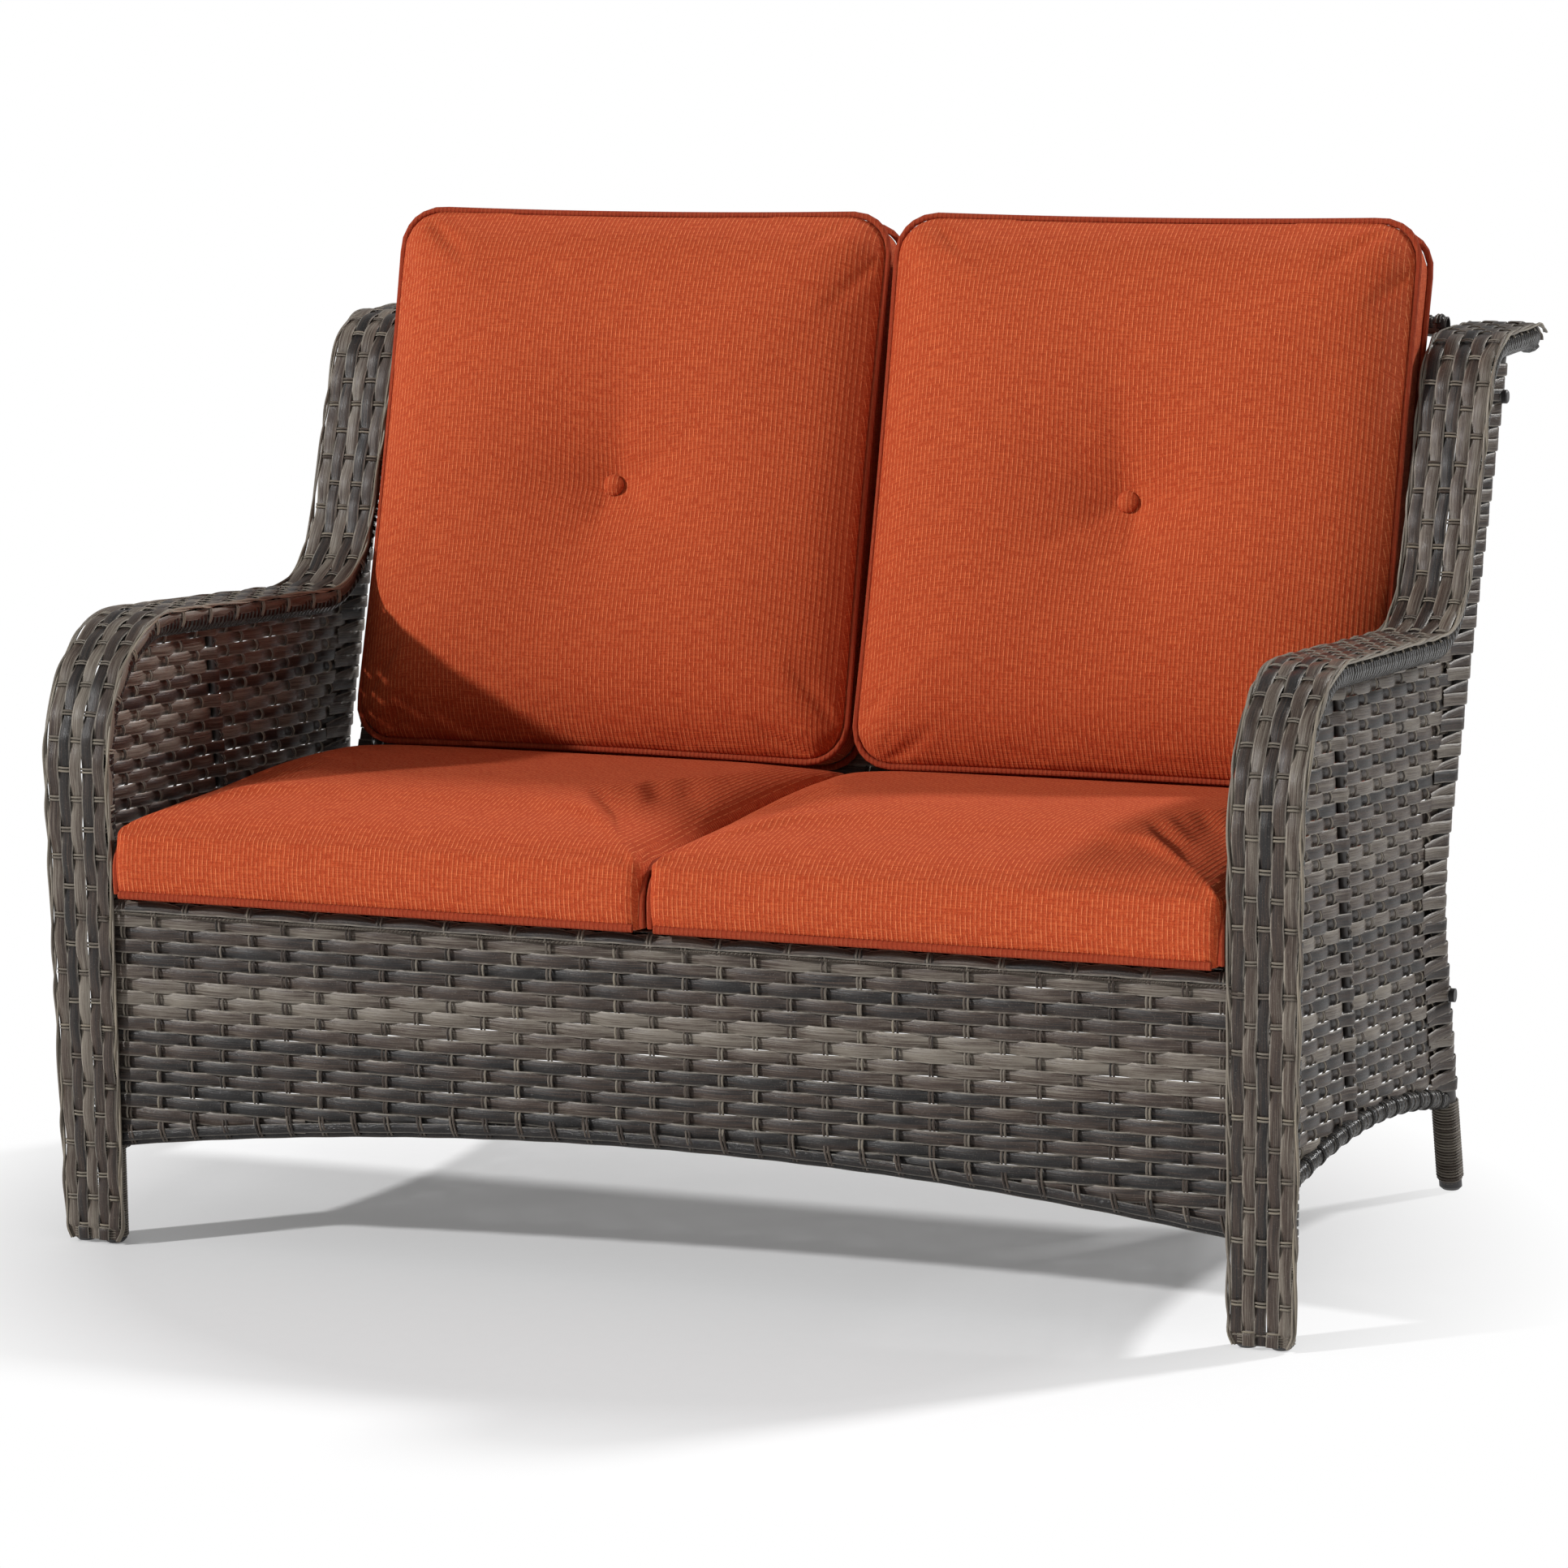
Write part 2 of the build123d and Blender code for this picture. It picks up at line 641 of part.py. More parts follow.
with BuildPart() as back_low_rail:
    cross_tube(back_low_rail_y, back_low_rail_z, back_inner_x, back_low_rail_radius)
save(back_low_rail, "back_low_rail")

with BuildPart() as back_uprights:
    for side in (-1, 1):
        with BuildLine(side_plane(side * back_upright_x, 0)) as upright_path:
            FilletPolyline(
                (rear_line_y(back_upright_foot_z), back_upright_foot_z),
                (knee_y, knee_z),
                (back_rail_y, back_rail_z),
                radius=knee_radius,
            )
        with BuildSketch(start_plane(upright_path, (1, 0, 0))):
            Circle(back_upright_radius)
        sweep(path=upright_path.line)
    with BuildSketch(Plane(origin=(0, front_y + back_rail_y, back_rail_z), x_dir=(0, 1, 0), z_dir=(1, 0, 0))):
        Circle(back_rail_radius + fit_gap)
    extrude(amount=overrun, both=True, mode=Mode.SUBTRACT)
    for bolt_z in (upper_bolt_z, lower_bolt_z):
        bolt_y = front_y + rear_line_y(bolt_z)
        with BuildSketch(Plane(origin=(0, bolt_y, bolt_z), x_dir=(0, 1, 0), z_dir=(1, 0, 0))):
            Circle(bolt_radius + fit_gap)
        extrude(amount=overrun, both=True, mode=Mode.SUBTRACT)
save(back_uprights, "back_uprights")

# Back weave: rows of strands along the bent line, between the uprights
weave_low_z = back_low_rail_z + back_low_rail_radius + fit_gap
weave_line = FilletPolyline(
    (rear_line_y(weave_low_z), weave_low_z),
    (knee_y, knee_z),
    (rear_line_y(back_sheet_top_z), back_sheet_top_z),
    radius=knee_radius,
    mode=Mode.PRIVATE,
)
back_rows = ceil(weave_line.length / front_row_pitch)


def weave_point(share, offset):
    """A point beside the back's bent line, behind it by an offset."""
    heading = weave_line % share
    return weave_line @ share + Vector(heading.Y, -heading.X) * (back_sheet_offset + offset)


with BuildPart() as back_weave:
    with BuildSketch(side_view):
        with BuildLine():
            half = sheet_depth / 2
            for row in range(back_rows):
                low = weave_point(row / back_rows, half - rib_height)
                middle = weave_point((row + 0.5) / back_rows, half)
                high = weave_point((row + 1) / back_rows, half - rib_height)
                ThreePointArc(low, middle, high)
                Line(weave_point(row / back_rows, -half), weave_point((row + 1) / back_rows, -half))
            for share in (0, 1):
                Line(weave_point(share, -half), weave_point(share, half - rib_height))
        make_face()
    extrude(amount=back_inner_x, both=True)
save(back_weave, "back_weave")

# Bolts from outside each rear leg through a spacer into the back frame
bolt_inner_x = back_upright_x - back_upright_radius + tube_wall
spacer_inner_x = back_upright_x + back_upright_radius + fit_gap
with BuildPart() as frame_bolts:
    for bolt_z in (upper_bolt_z, lower_bolt_z):
        bolt_y = rear_line_y(bolt_z)
        head_x = panel_side_x(bolt_y) + tube_radius + fit_gap * 2 + washer_thickness
        bolt_line = Plane(origin=(0, front_y + bolt_y, bolt_z), x_dir=(0, 1, 0), z_dir=(1, 0, 0))
        with BuildSketch(bolt_line.offset(bolt_inner_x)):
            Circle(bolt_radius)
        extrude(amount=head_x - bolt_inner_x)
        with BuildSketch(bolt_line.offset(head_x)):
            RegularPolygon(bolt_head_radius, 6)
        extrude(amount=bolt_head_height)
    mirror(about=Plane.YZ)
save(frame_bolts, "frame_bolts")

with BuildPart() as bolt_washers:
    for bolt_z in (upper_bolt_z, lower_bolt_z):
        bolt_y = rear_line_y(bolt_z)
        washer_x = panel_side_x(bolt_y) + tube_radius + fit_gap
        with BuildSketch(Plane(origin=(washer_x, front_y + bolt_y, bolt_z), x_dir=(0, 1, 0), z_dir=(1, 0, 0))):
            Circle(washer_radius)
            Circle(bolt_radius + fit_gap, mode=Mode.SUBTRACT)
        extrude(amount=washer_thickness)
    mirror(about=Plane.YZ)
save(bolt_washers, "bolt_washers")

with BuildPart() as bolt_caps:
    for bolt_z in (upper_bolt_z, lower_bolt_z):
        bolt_y = rear_line_y(bolt_z)
        cap_x = panel_side_x(bolt_y) + tube_radius + fit_gap * 2 + washer_thickness
        cap_base = Plane(origin=(cap_x, front_y + bolt_y, bolt_z), x_dir=(0, 1, 0), z_dir=(1, 0, 0))
        with BuildSketch(cap_base):
            Circle(cap_radius)
        extrude(amount=bolt_head_height + fit_gap + cap_wall)
    chamfer(bolt_caps.edges().group_by(Axis.X)[-1], cap_wall)
    for bolt_z in (upper_bolt_z, lower_bolt_z):
        bolt_y = rear_line_y(bolt_z)
        cap_x = panel_side_x(bolt_y) + tube_radius + fit_gap * 2 + washer_thickness
        cap_base = Plane(origin=(cap_x, front_y + bolt_y, bolt_z), x_dir=(0, 1, 0), z_dir=(1, 0, 0))
        with BuildSketch(cap_base):
            Circle(bolt_head_radius + fit_gap)
        extrude(amount=bolt_head_height + fit_gap, mode=Mode.SUBTRACT)
    mirror(about=Plane.YZ)
save(bolt_caps, "bolt_caps")

with BuildPart() as back_spacers:
    for bolt_z in (upper_bolt_z, lower_bolt_z):
        bolt_y = rear_line_y(bolt_z)
        spacer_start = Plane(origin=(spacer_inner_x, front_y + bolt_y, bolt_z), x_dir=(0, 1, 0), z_dir=(1, 0, 0))
        with BuildSketch(spacer_start):
            Circle(spacer_radius)
            Circle(bolt_radius + fit_gap, mode=Mode.SUBTRACT)
        leg_face_x = panel_side_x(bolt_y) - (tube_radius + fit_gap) / cos(radians(side_toe_out))
        extrude(amount=leg_face_x - spacer_inner_x)
    mirror(about=Plane.YZ)
save(back_spacers, "back_spacers")


# Outline of a cushion


def pillow_outline(width, height, corner, pull):
    """A rounded rectangle about the origin whose sides are drawn in, with a pull in degrees."""
    swing = sin(radians(pull))
    wide = (width / 2 - corner * (1 + swing)) / swing
    tall = (height / 2 - corner * (1 + swing)) / swing
    low = (wide + corner) * (1 - cos(radians(pull))) - height / 2
    side = JernArc((0, low), (1, 0), wide, -pull)
    for curve in (tall, wide, tall):
        bend = JernArc(side @ 1, side % 1, corner, 90 + 2 * pull)
        side = JernArc(bend @ 1, bend % 1, curve, -2 * pull)
    bend = JernArc(side @ 1, side % 1, corner, 90 + 2 * pull)
    JernArc(bend @ 1, bend % 1, wide, -pull)


def pillow_face(plane, sides, ends, corner, pull):
    """The level of a cushion on a plane, between two places across and two places along it."""
    middle = plane.from_local_coords(Vector(sum(sides) / 2, sum(ends) / 2, 0))
    with BuildSketch(Plane(middle, x_dir=plane.x_dir, z_dir=plane.z_dir)) as level:
        with BuildLine():
            pillow_outline(sides[1] - sides[0], ends[1] - ends[0], corner, pull)
        make_face()
    return level.sketch


def block(plane, sides, ends, corner, depth):
    """A rounded block that rises from a plane."""
    middle = plane.from_local_coords(Vector(sum(sides) / 2, sum(ends) / 2, 0))
    with BuildSketch(Plane(middle, x_dir=plane.x_dir, z_dir=plane.z_dir)) as base:
        RectangleRounded(sides[1] - sides[0], ends[1] - ends[0], corner)
    return extrude(base.sketch, amount=depth, mode=Mode.PRIVATE)


# Seat cushion: its cover rolls over the front edge, and its crown falls to the rear
seat_base_z = deck_z + deck_thickness + fit_gap
seat_sides = (cushion_inner_x, cushion_outer_x)


def seat_level(rise_share, front_share, side_share, rear_share):
    """One level of the seat cushion's cover."""
    inset = side_share * seat_side_roll
    return pillow_face(
        Plane((0, front_y, seat_base_z + rise_share * seat_thickness)),
        (seat_sides[0] + inset, seat_sides[1] - inset),
        (seat_front_y + front_share * seat_front_roll, seat_rear_y - rear_share * seat_rear_run),
        seat_corner,
        seat_pull,
    )


def seat_welts(radius):
    """Welts up each end of the seat cushion and along its top, and one along the front's lower edge."""
    seam_z = seat_base_z + seat_gusset
    low_z = seat_base_z + welt_radius + fit_gap
    end_y = seat_front_y + seat_corner
    with BuildPart() as welts:
        for welt_x in (seat_sides[0] + seat_welt_inset, seat_sides[1] - seat_welt_inset):
            with BuildLine(side_plane(welt_x, 0)) as end_path:
                rise = Line((end_y, low_z), (end_y, seam_z - seat_welt_bend))
                turn = JernArc(rise @ 1, rise % 1, seat_welt_bend, -90)
                Line(turn @ 1, (seat_rear_y - seat_corner, seam_z))
            with BuildSketch(start_plane(end_path, (1, 0, 0))):
                RegularPolygon(radius, welt_sides)
            sweep(path=end_path.line)
        front_start = Plane(
            origin=(seat_sides[0] + seat_corner, front_y + seat_front_y + welt_radius, low_z),
            x_dir=(0, 1, 0),
            z_dir=(1, 0, 0),
        )
        with BuildSketch(front_start):
            RegularPolygon(radius, welt_sides)
        extrude(amount=seat_sides[1] - seat_sides[0] - 2 * seat_corner)
    return welts


seat_foam_base = Plane((0, front_y, seat_base_z + foam_wrap))
seat_foam_ends = (seat_front_y + foam_wrap, seat_rear_y - foam_wrap)
seat_foam_depth = seat_gusset - 2 * foam_wrap


def seat_filling(gap):
    """The seat cushion's foam, grown by a gap."""
    sides = (seat_sides[0] + foam_wrap - gap, seat_sides[1] - foam_wrap + gap)
    ends = (seat_foam_ends[0] - gap, seat_foam_ends[1] + gap)
    return block(seat_foam_base.offset(-gap), sides, ends, foam_corner, seat_foam_depth + 2 * gap)


save_pair(seat_welts(welt_radius), "seat_cushion_welts")
with BuildPart() as seat_cover:
    loft([seat_level(*shares) for shares in seat_level_shares], ruled=True)
    add(seat_welts(welt_radius + fit_gap).part, mode=Mode.SUBTRACT)
    add(seat_filling(fit_gap), mode=Mode.SUBTRACT)
save_pair(seat_cover, "seat_cushion_cover")
with BuildPart() as seat_foam:
    add(seat_filling(0))
save_pair(seat_foam, "seat_cushion_foam")

# Back cushion: it leans on the back and stands on the rear of the seat cushion
lean_cos = cos(radians(cushion_lean))
lean_sin = sin(radians(cushion_lean))
front_seam = Plane(
    origin=(0, front_y + back_front_y, back_front_z), x_dir=(1, 0, 0), z_dir=(0, -lean_cos, lean_sin)
)
rear_seam = front_seam.offset(-back_gusset)
back_sides = (cushion_inner_x, cushion_outer_x)
back_ends = (0, back_height)
rear_sides = (cushion_inner_x + back_rear_side_inset, cushion_outer_x - back_rear_side_inset)
rear_ends = (back_rear_low_inset, back_height)
welt_half = welt_radius + fit_gap
welt_channel = welt_inset + welt_half


def inset_face(plane, sides, ends, side, low, high):
    """A level of the back cushion, drawn in from its seam at the sides, the foot and the top."""
    return pillow_face(
        plane,
        (sides[0] + side, sides[1] - side),
        (ends[0] + low, ends[1] - high),
        back_corner,
        back_pull,
    )


def front_level(rise_share, inset_share):
    """A level of the front crown."""
    inset = inset_share * front_crown_run
    height = welt_half + rise_share * (front_crown - welt_half)
    return inset_face(front_seam.offset(height), back_sides, back_ends, inset, inset, inset)


def rear_level(rise_share, side_share, low_share):
    """A level of the rear crown."""
    inset = side_share * rear_crown_run
    height = welt_half + rise_share * (rear_crown - welt_half)
    return inset_face(rear_seam.offset(-height), rear_sides, rear_ends, inset, low_share * rear_crown_low_run, inset)


def back_welts(radius):
    """Welts round the front and the rear seam."""
    with BuildPart() as welts:
        for plane, sides, ends in ((front_seam, back_sides, back_ends), (rear_seam, rear_sides, rear_ends)):
            middle = plane.from_local_coords(Vector(sum(sides) / 2, sum(ends) / 2, 0))
            with BuildLine(Plane(middle, x_dir=plane.x_dir, z_dir=plane.z_dir)) as seam_path:
                pillow_outline(
                    sides[1] - sides[0] - 2 * welt_inset,
                    ends[1] - ends[0] - 2 * welt_inset,
                    back_corner - welt_inset,
                    back_pull,
                )
            with BuildSketch(Plane(seam_path.line @ 0, x_dir=plane.z_dir, z_dir=seam_path.line % 0)):
                RegularPolygon(radius, welt_sides)
            sweep(path=seam_path.line)
    return welts


def back_filling(gap):
    """The back cushion's foam, grown by a gap."""
    sides = (rear_sides[0] + foam_wrap - gap, rear_sides[1] - foam_wrap + gap)
    ends = (rear_ends[0] + foam_wrap - gap, rear_ends[1] - foam_wrap + gap)
    start = rear_seam.offset(welt_half + fit_gap - gap)
    return block(start, sides, ends, foam_corner, back_gusset - 2 * (welt_half + fit_gap) + 2 * gap)


# The button's axis stands square on the seams, and its tuft draws the crown in
button_middle = front_seam.from_local_coords(Vector(sum(back_sides) / 2, button_rise, 0))
button_front = Plane(button_middle, x_dir=(1, 0, 0), z_dir=front_seam.z_dir)
button_section = Plane(button_middle, x_dir=(1, 0, 0), z_dir=(0, -lean_sin, -lean_cos))
button_axis = Axis(button_middle, front_seam.z_dir)
front_floor = front_crown - dimple_depth
rear_floor = back_gusset + rear_crown - rear_dimple_depth


def tuft(side, floor, radius, crown):
    """What a button draws in: a funnel from its flat floor out to the crown, on one side of the seams."""
    seat = button_radius + fit_gap
    with BuildSketch(button_section) as funnel:
        with BuildLine():
            wall = TangentArc((radius, side * crown), (seat, side * floor), tangent=(-1, 0))
            Polyline(
                wall @ 1,
                (0, side * floor),
                (0, side * (crown + dimple_depth)),
                (radius, side * (crown + dimple_depth)),
                wall @ 0,
            )
        make_face()
    return revolve(funnel.sketch, axis=button_axis, mode=Mode.PRIVATE)


def tie_hole():
    """The hole for the tie between the two buttons."""
    with BuildSketch(button_front.offset(-rear_floor)) as hole:
        Circle(tie_radius + fit_gap)
    return extrude(hole.sketch, amount=rear_floor + front_floor, mode=Mode.PRIVATE)


save_pair(back_welts(welt_radius), "back_cushion_welts")
with BuildPart() as back_cover:
    loft([front_level(*shares) for shares in front_crown_shares], ruled=True)
    loft([rear_level(*shares) for shares in rear_crown_shares], ruled=True)
    front_edge = inset_face(front_seam.offset(-welt_half), back_sides, back_ends, 0, 0, 0)
    rear_edge = inset_face(rear_seam.offset(welt_half), rear_sides, rear_ends, 0, 0, 0)
    loft([rear_edge, front_edge], ruled=True)
    for plane, sides, ends in ((front_seam, back_sides, back_ends), (rear_seam, rear_sides, rear_ends)):
        neck_start = plane.offset(-welt_half)
        neck = inset_face(neck_start, sides, ends, welt_channel, welt_channel, welt_channel)
        extrude(neck, amount=2 * welt_half)
    add(tuft(1, front_floor, dimple_radius, front_crown), mode=Mode.SUBTRACT)
    add(tuft(-1, rear_floor, rear_dimple_radius, back_gusset + rear_crown), mode=Mode.SUBTRACT)
    add(back_filling(fit_gap), mode=Mode.SUBTRACT)
    add(tie_hole(), mode=Mode.SUBTRACT)
save_pair(back_cover, "back_cushion_cover")
with BuildPart() as back_foam:
    add(back_filling(0))
    add(tie_hole(), mode=Mode.SUBTRACT)
save_pair(back_foam, "back_cushion_foam")

with BuildPart() as back_buttons:
    for side, floor in ((1, front_floor), (-1, rear_floor)):
        seat = button_front.offset(side * (floor + fit_gap))
        with BuildSketch(seat):
            Circle(button_radius)
        extrude(amount=side * button_height)
        rim = back_buttons.edges(Select.LAST).filter_by(GeomType.CIRCLE)
        far = rim.sort_by_distance(button_middle)[-1]
        chamfer(far, button_edge)
save_pair(back_buttons, "back_cushion_buttons")

with BuildPart() as back_tie:
    with BuildSketch(button_front.offset(-rear_floor)):
        Circle(tie_radius)
    extrude(amount=rear_floor + front_floor)
save_pair(back_tie, "back_cushion_tie")
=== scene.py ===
"""Woven patio loveseat: woven strands, wound tubes, cushions, finishes and a plain pale studio."""

import math

import bpy
import numpy as np
from mathutils import Matrix, Vector


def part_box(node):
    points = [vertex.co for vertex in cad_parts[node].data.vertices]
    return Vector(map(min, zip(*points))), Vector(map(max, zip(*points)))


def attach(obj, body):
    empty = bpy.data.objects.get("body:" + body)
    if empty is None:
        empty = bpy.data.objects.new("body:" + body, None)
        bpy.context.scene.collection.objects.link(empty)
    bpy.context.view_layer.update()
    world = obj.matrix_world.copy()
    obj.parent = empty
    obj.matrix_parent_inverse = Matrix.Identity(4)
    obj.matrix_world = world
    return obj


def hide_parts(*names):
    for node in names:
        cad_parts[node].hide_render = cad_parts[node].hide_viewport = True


bl_info = {
    "name": "Woven Patio Loveseat",
    "version": (1, 0, 0),
    "blender": (4, 5, 0),
    "location": "3D View > Sidebar > Loveseat",
    "description": "Weaves, winds and upholsters a two-seat patio sofa over its steel frame",
    "category": "Add Mesh",
}

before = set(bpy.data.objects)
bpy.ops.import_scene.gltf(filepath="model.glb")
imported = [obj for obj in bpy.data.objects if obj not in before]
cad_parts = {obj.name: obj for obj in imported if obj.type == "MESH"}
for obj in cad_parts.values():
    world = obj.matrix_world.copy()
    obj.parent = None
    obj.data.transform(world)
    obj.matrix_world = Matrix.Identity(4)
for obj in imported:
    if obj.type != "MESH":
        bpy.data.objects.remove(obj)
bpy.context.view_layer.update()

MM = 0.001
# Lengths below are in millimetres, with depths behind the front of the arm bands
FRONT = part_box("right_arm_band")[0].y / MM
SIDES = (("right", 1.0), ("left", -1.0))
SIDEWAYS, REARWARD, UPWARD = (1.0, 0.0, 0.0), (0.0, 1.0, 0.0), (0.0, 0.0, 1.0)
WHITE = (1.0, 1.0, 1.0, 1.0)


# ---------------------------------------------------------------- sizes and colours


class LoveseatWeaveSizes(bpy.types.PropertyGroup):
    """Strands of the weave and the bindings"""

    strand_thickness: bpy.props.FloatProperty(
        name="Flat strand thickness", description="Thickness of the flat strands", default=0.0012, unit="LENGTH"
    )
    band_step: bpy.props.FloatProperty(
        name="Band step", description="Spacing of the cross pairs on the arm bands", default=0.0300, unit="LENGTH"
    )
    side_step: bpy.props.FloatProperty(
        name="Side panel step", description="Spacing of the stakes in the side panels", default=0.0380, unit="LENGTH"
    )
    front_step: bpy.props.FloatProperty(
        name="Skirt step", description="Spacing of the stakes in the skirt and the back", default=0.03625, unit="LENGTH"
    )
    side_pitch: bpy.props.FloatProperty(
        name="Side row pitch", description="Height from one row to the next in the side panels", default=0.01263,
        unit="LENGTH",
    )
    front_pitch: bpy.props.FloatProperty(
        name="Front row pitch", description="Height from one row to the next in the skirt and the back",
        default=0.0134, unit="LENGTH",
    )
    cord_twist: bpy.props.FloatProperty(
        name="Cord twist", description="Length of one full twist of the edge cords", default=0.130, unit="LENGTH"
    )


class LoveseatColours(bpy.types.PropertyGroup):
    """Colours of the strands and the fabric"""

    charcoal: bpy.props.FloatVectorProperty(
        name="Charcoal strand", description="Darkest flat strands", subtype="COLOR", size=3,
        default=(0.013, 0.012, 0.012),
    )
    umber: bpy.props.FloatVectorProperty(
        name="Umber strand", description="Middle flat strands", subtype="COLOR", size=3, default=(0.056, 0.037, 0.028)
    )
    taupe: bpy.props.FloatVectorProperty(
        name="Taupe strand", description="Lightest flat strands", subtype="COLOR", size=3, default=(0.195, 0.170, 0.138)
    )
    khaki: bpy.props.FloatVectorProperty(
        name="Khaki strand", description="Thin strands and cords", subtype="COLOR", size=3,
        default=(0.250, 0.212, 0.158),
    )
    fabric: bpy.props.FloatVectorProperty(
        name="Fabric", description="Ground of the cushion fabric", subtype="COLOR", size=3,
        default=(0.540, 0.080, 0.021),
    )
    slub: bpy.props.FloatVectorProperty(
        name="Slub", description="Light threads of the cushion fabric", subtype="COLOR", size=3,
        default=(0.820, 0.270, 0.110),
    )


class LoveseatStudio(bpy.types.PropertyGroup):
    """Camera and light"""

    lens: bpy.props.FloatProperty(
        name="Lens", description="Focal length of the camera in millimetres", default=120.96, min=20.0
    )
    key: bpy.props.FloatProperty(name="Key light", description="Light from the front left", default=2.8, min=0.0)
    side: bpy.props.FloatProperty(name="Rear light", description="Light from the rear right", default=2.3, min=0.0)
    sky: bpy.props.FloatProperty(name="Sky", description="Even light from all round", default=0.34, min=0.0)


# ---------------------------------------------------------------- materials


class Value:
    """An output of a node. Arithmetic on it adds Math nodes."""

    def __init__(self, finish, socket):
        self.finish, self.socket = finish, socket

    def maths(self, operation, *values, **settings):
        return self.finish.node("ShaderNodeMath", {"operation": operation, **settings}, dict(enumerate(values)))

    def __add__(self, other):
        return self.maths("ADD", self, other)

    def __sub__(self, other):
        return self.maths("SUBTRACT", self, other)

    def __rsub__(self, other):
        return self.maths("SUBTRACT", other, self)

    def __mul__(self, other):
        return self.maths("MULTIPLY", self, other)

    def __truediv__(self, other):
        return self.maths("DIVIDE", self, other)

    def __pow__(self, other):
        return self.maths("POWER", self, other)

    def __gt__(self, other):
        return self.maths("GREATER_THAN", self, other)

    __radd__ = __add__
    __rmul__ = __mul__

    def clamped(self):
        return self.maths("ADD", self, 0.0, use_clamp=True)

    def largest(self, other):
        return self.maths("MAXIMUM", self, other)

    def least(self, other):
        return self.maths("MINIMUM", self, other)

    def size(self):
        return self.maths("ABSOLUTE", self)

    def wave(self):
        return self.maths("SINE", self)


class Finish:
    """A procedural material, or the world's light, and the nodes in it."""

    def __init__(self, name, owner=None):
        self.material = owner or bpy.data.materials.new(name)
        self.material.use_nodes = True
        self.tree = self.material.node_tree
        self.tree.nodes.clear()

    def node(self, kind, settings=(), values=(), output=0):
        """Adds a node: its settings first, then the values or links of its sockets."""
        made = self.tree.nodes.new(kind)
        for key, value in dict(settings).items():
            if key == "stops":
                ramp = made.color_ramp.elements
                while len(ramp) < len(value):
                    ramp.new(0.5)
                for stop, (position, colour) in zip(ramp, value):
                    stop.position, stop.color = position, (*colour, 1.0)
            else:
                setattr(made, key, value)
        for key, value in dict(values).items():
            if isinstance(value, Value):
                self.tree.links.new(value.socket, made.inputs[key])
            else:
                made.inputs[key].default_value = value
        return Value(self, made.outputs[output])

    def place(self):
        return self.node("ShaderNodeTexCoord", output="Object")

    def scaled(self, vector, *factors):
        return self.node("ShaderNodeVectorMath", {"operation": "MULTIPLY"}, {0: vector, 1: factors})

    def parts(self, vector):
        split = self.node("ShaderNodeSeparateXYZ", values={0: vector})
        outputs = split.socket.node.outputs
        return [Value(self, outputs[i]) for i in range(3)]

    def joined(self, x, y, z):
        return self.node("ShaderNodeCombineXYZ", values={0: x, 1: y, 2: z})

    def noise(self, vector, scale=1.0, detail=2.0, roughness=0.5, distortion=0.0):
        values = {"Vector": vector, "Scale": scale, "Detail": detail, "Roughness": roughness, "Distortion": distortion}
        return self.node("ShaderNodeTexNoise", values=values)

    def ramp(self, value, *stops):
        return self.node("ShaderNodeValToRGB", {"stops": stops}, {0: value})

    def mix(self, share, first, second, blend="MIX"):
        values = {0: share, 6: first, 7: second}
        values = {key: (*value, 1.0) if isinstance(value, tuple) else value for key, value in values.items()}
        return self.node("ShaderNodeMix", {"data_type": "RGBA", "blend_type": blend}, values, output=2)

    def range(self, value, low, high, start=0.0, end=1.0):
        return self.node("ShaderNodeMapRange", values={0: value, 1: low, 2: high, 3: start, 4: end})

    def bump(self, height, strength, distance, normal=None):
        values = {"Height": height, "Strength": strength, "Distance": distance}
        if normal:
            values["Normal"] = normal
        return self.node("ShaderNodeBump", values=values)

    def surface(self, **values):
        """Ends the material in a Principled shader."""
        names = {key.replace("_", " ").title().replace("Ior", "IOR"): value for key, value in values.items()}
        names = {key: (*value, 1.0) if isinstance(value, tuple) else value for key, value in names.items()}
        return self.ending(self.node("ShaderNodeBsdfPrincipled", values=names))

    def seen_by(self, *rays):
        """One where a ray is of one of these kinds, else nothing."""
        outputs = self.node("ShaderNodeLightPath").socket.node.outputs
        seen = Value(self, outputs[rays[0]])
        for ray in rays[1:]:
            seen = seen.largest(Value(self, outputs[ray]))
        return seen

    def ending(self, shader, kind="ShaderNodeOutputMaterial"):
        end = self.tree.nodes.new(kind)
        self.tree.links.new(shader.socket, end.inputs["Surface"])
        return self.material


def colour(name):
    return tuple(getattr(bpy.context.scene.loveseat_colours, name))


# Light colours of the painted highlight along the edges of the strands and of the cords, also used for their grit
# specks
EDGE_HIGHLIGHT_AND_GRIT = (0.42, 0.38, 0.32)
CORD_HIGHLIGHT_AND_GRIT = (0.42, 0.37, 0.29)
NEAR_BLACK = (0.008, 0.007, 0.007)


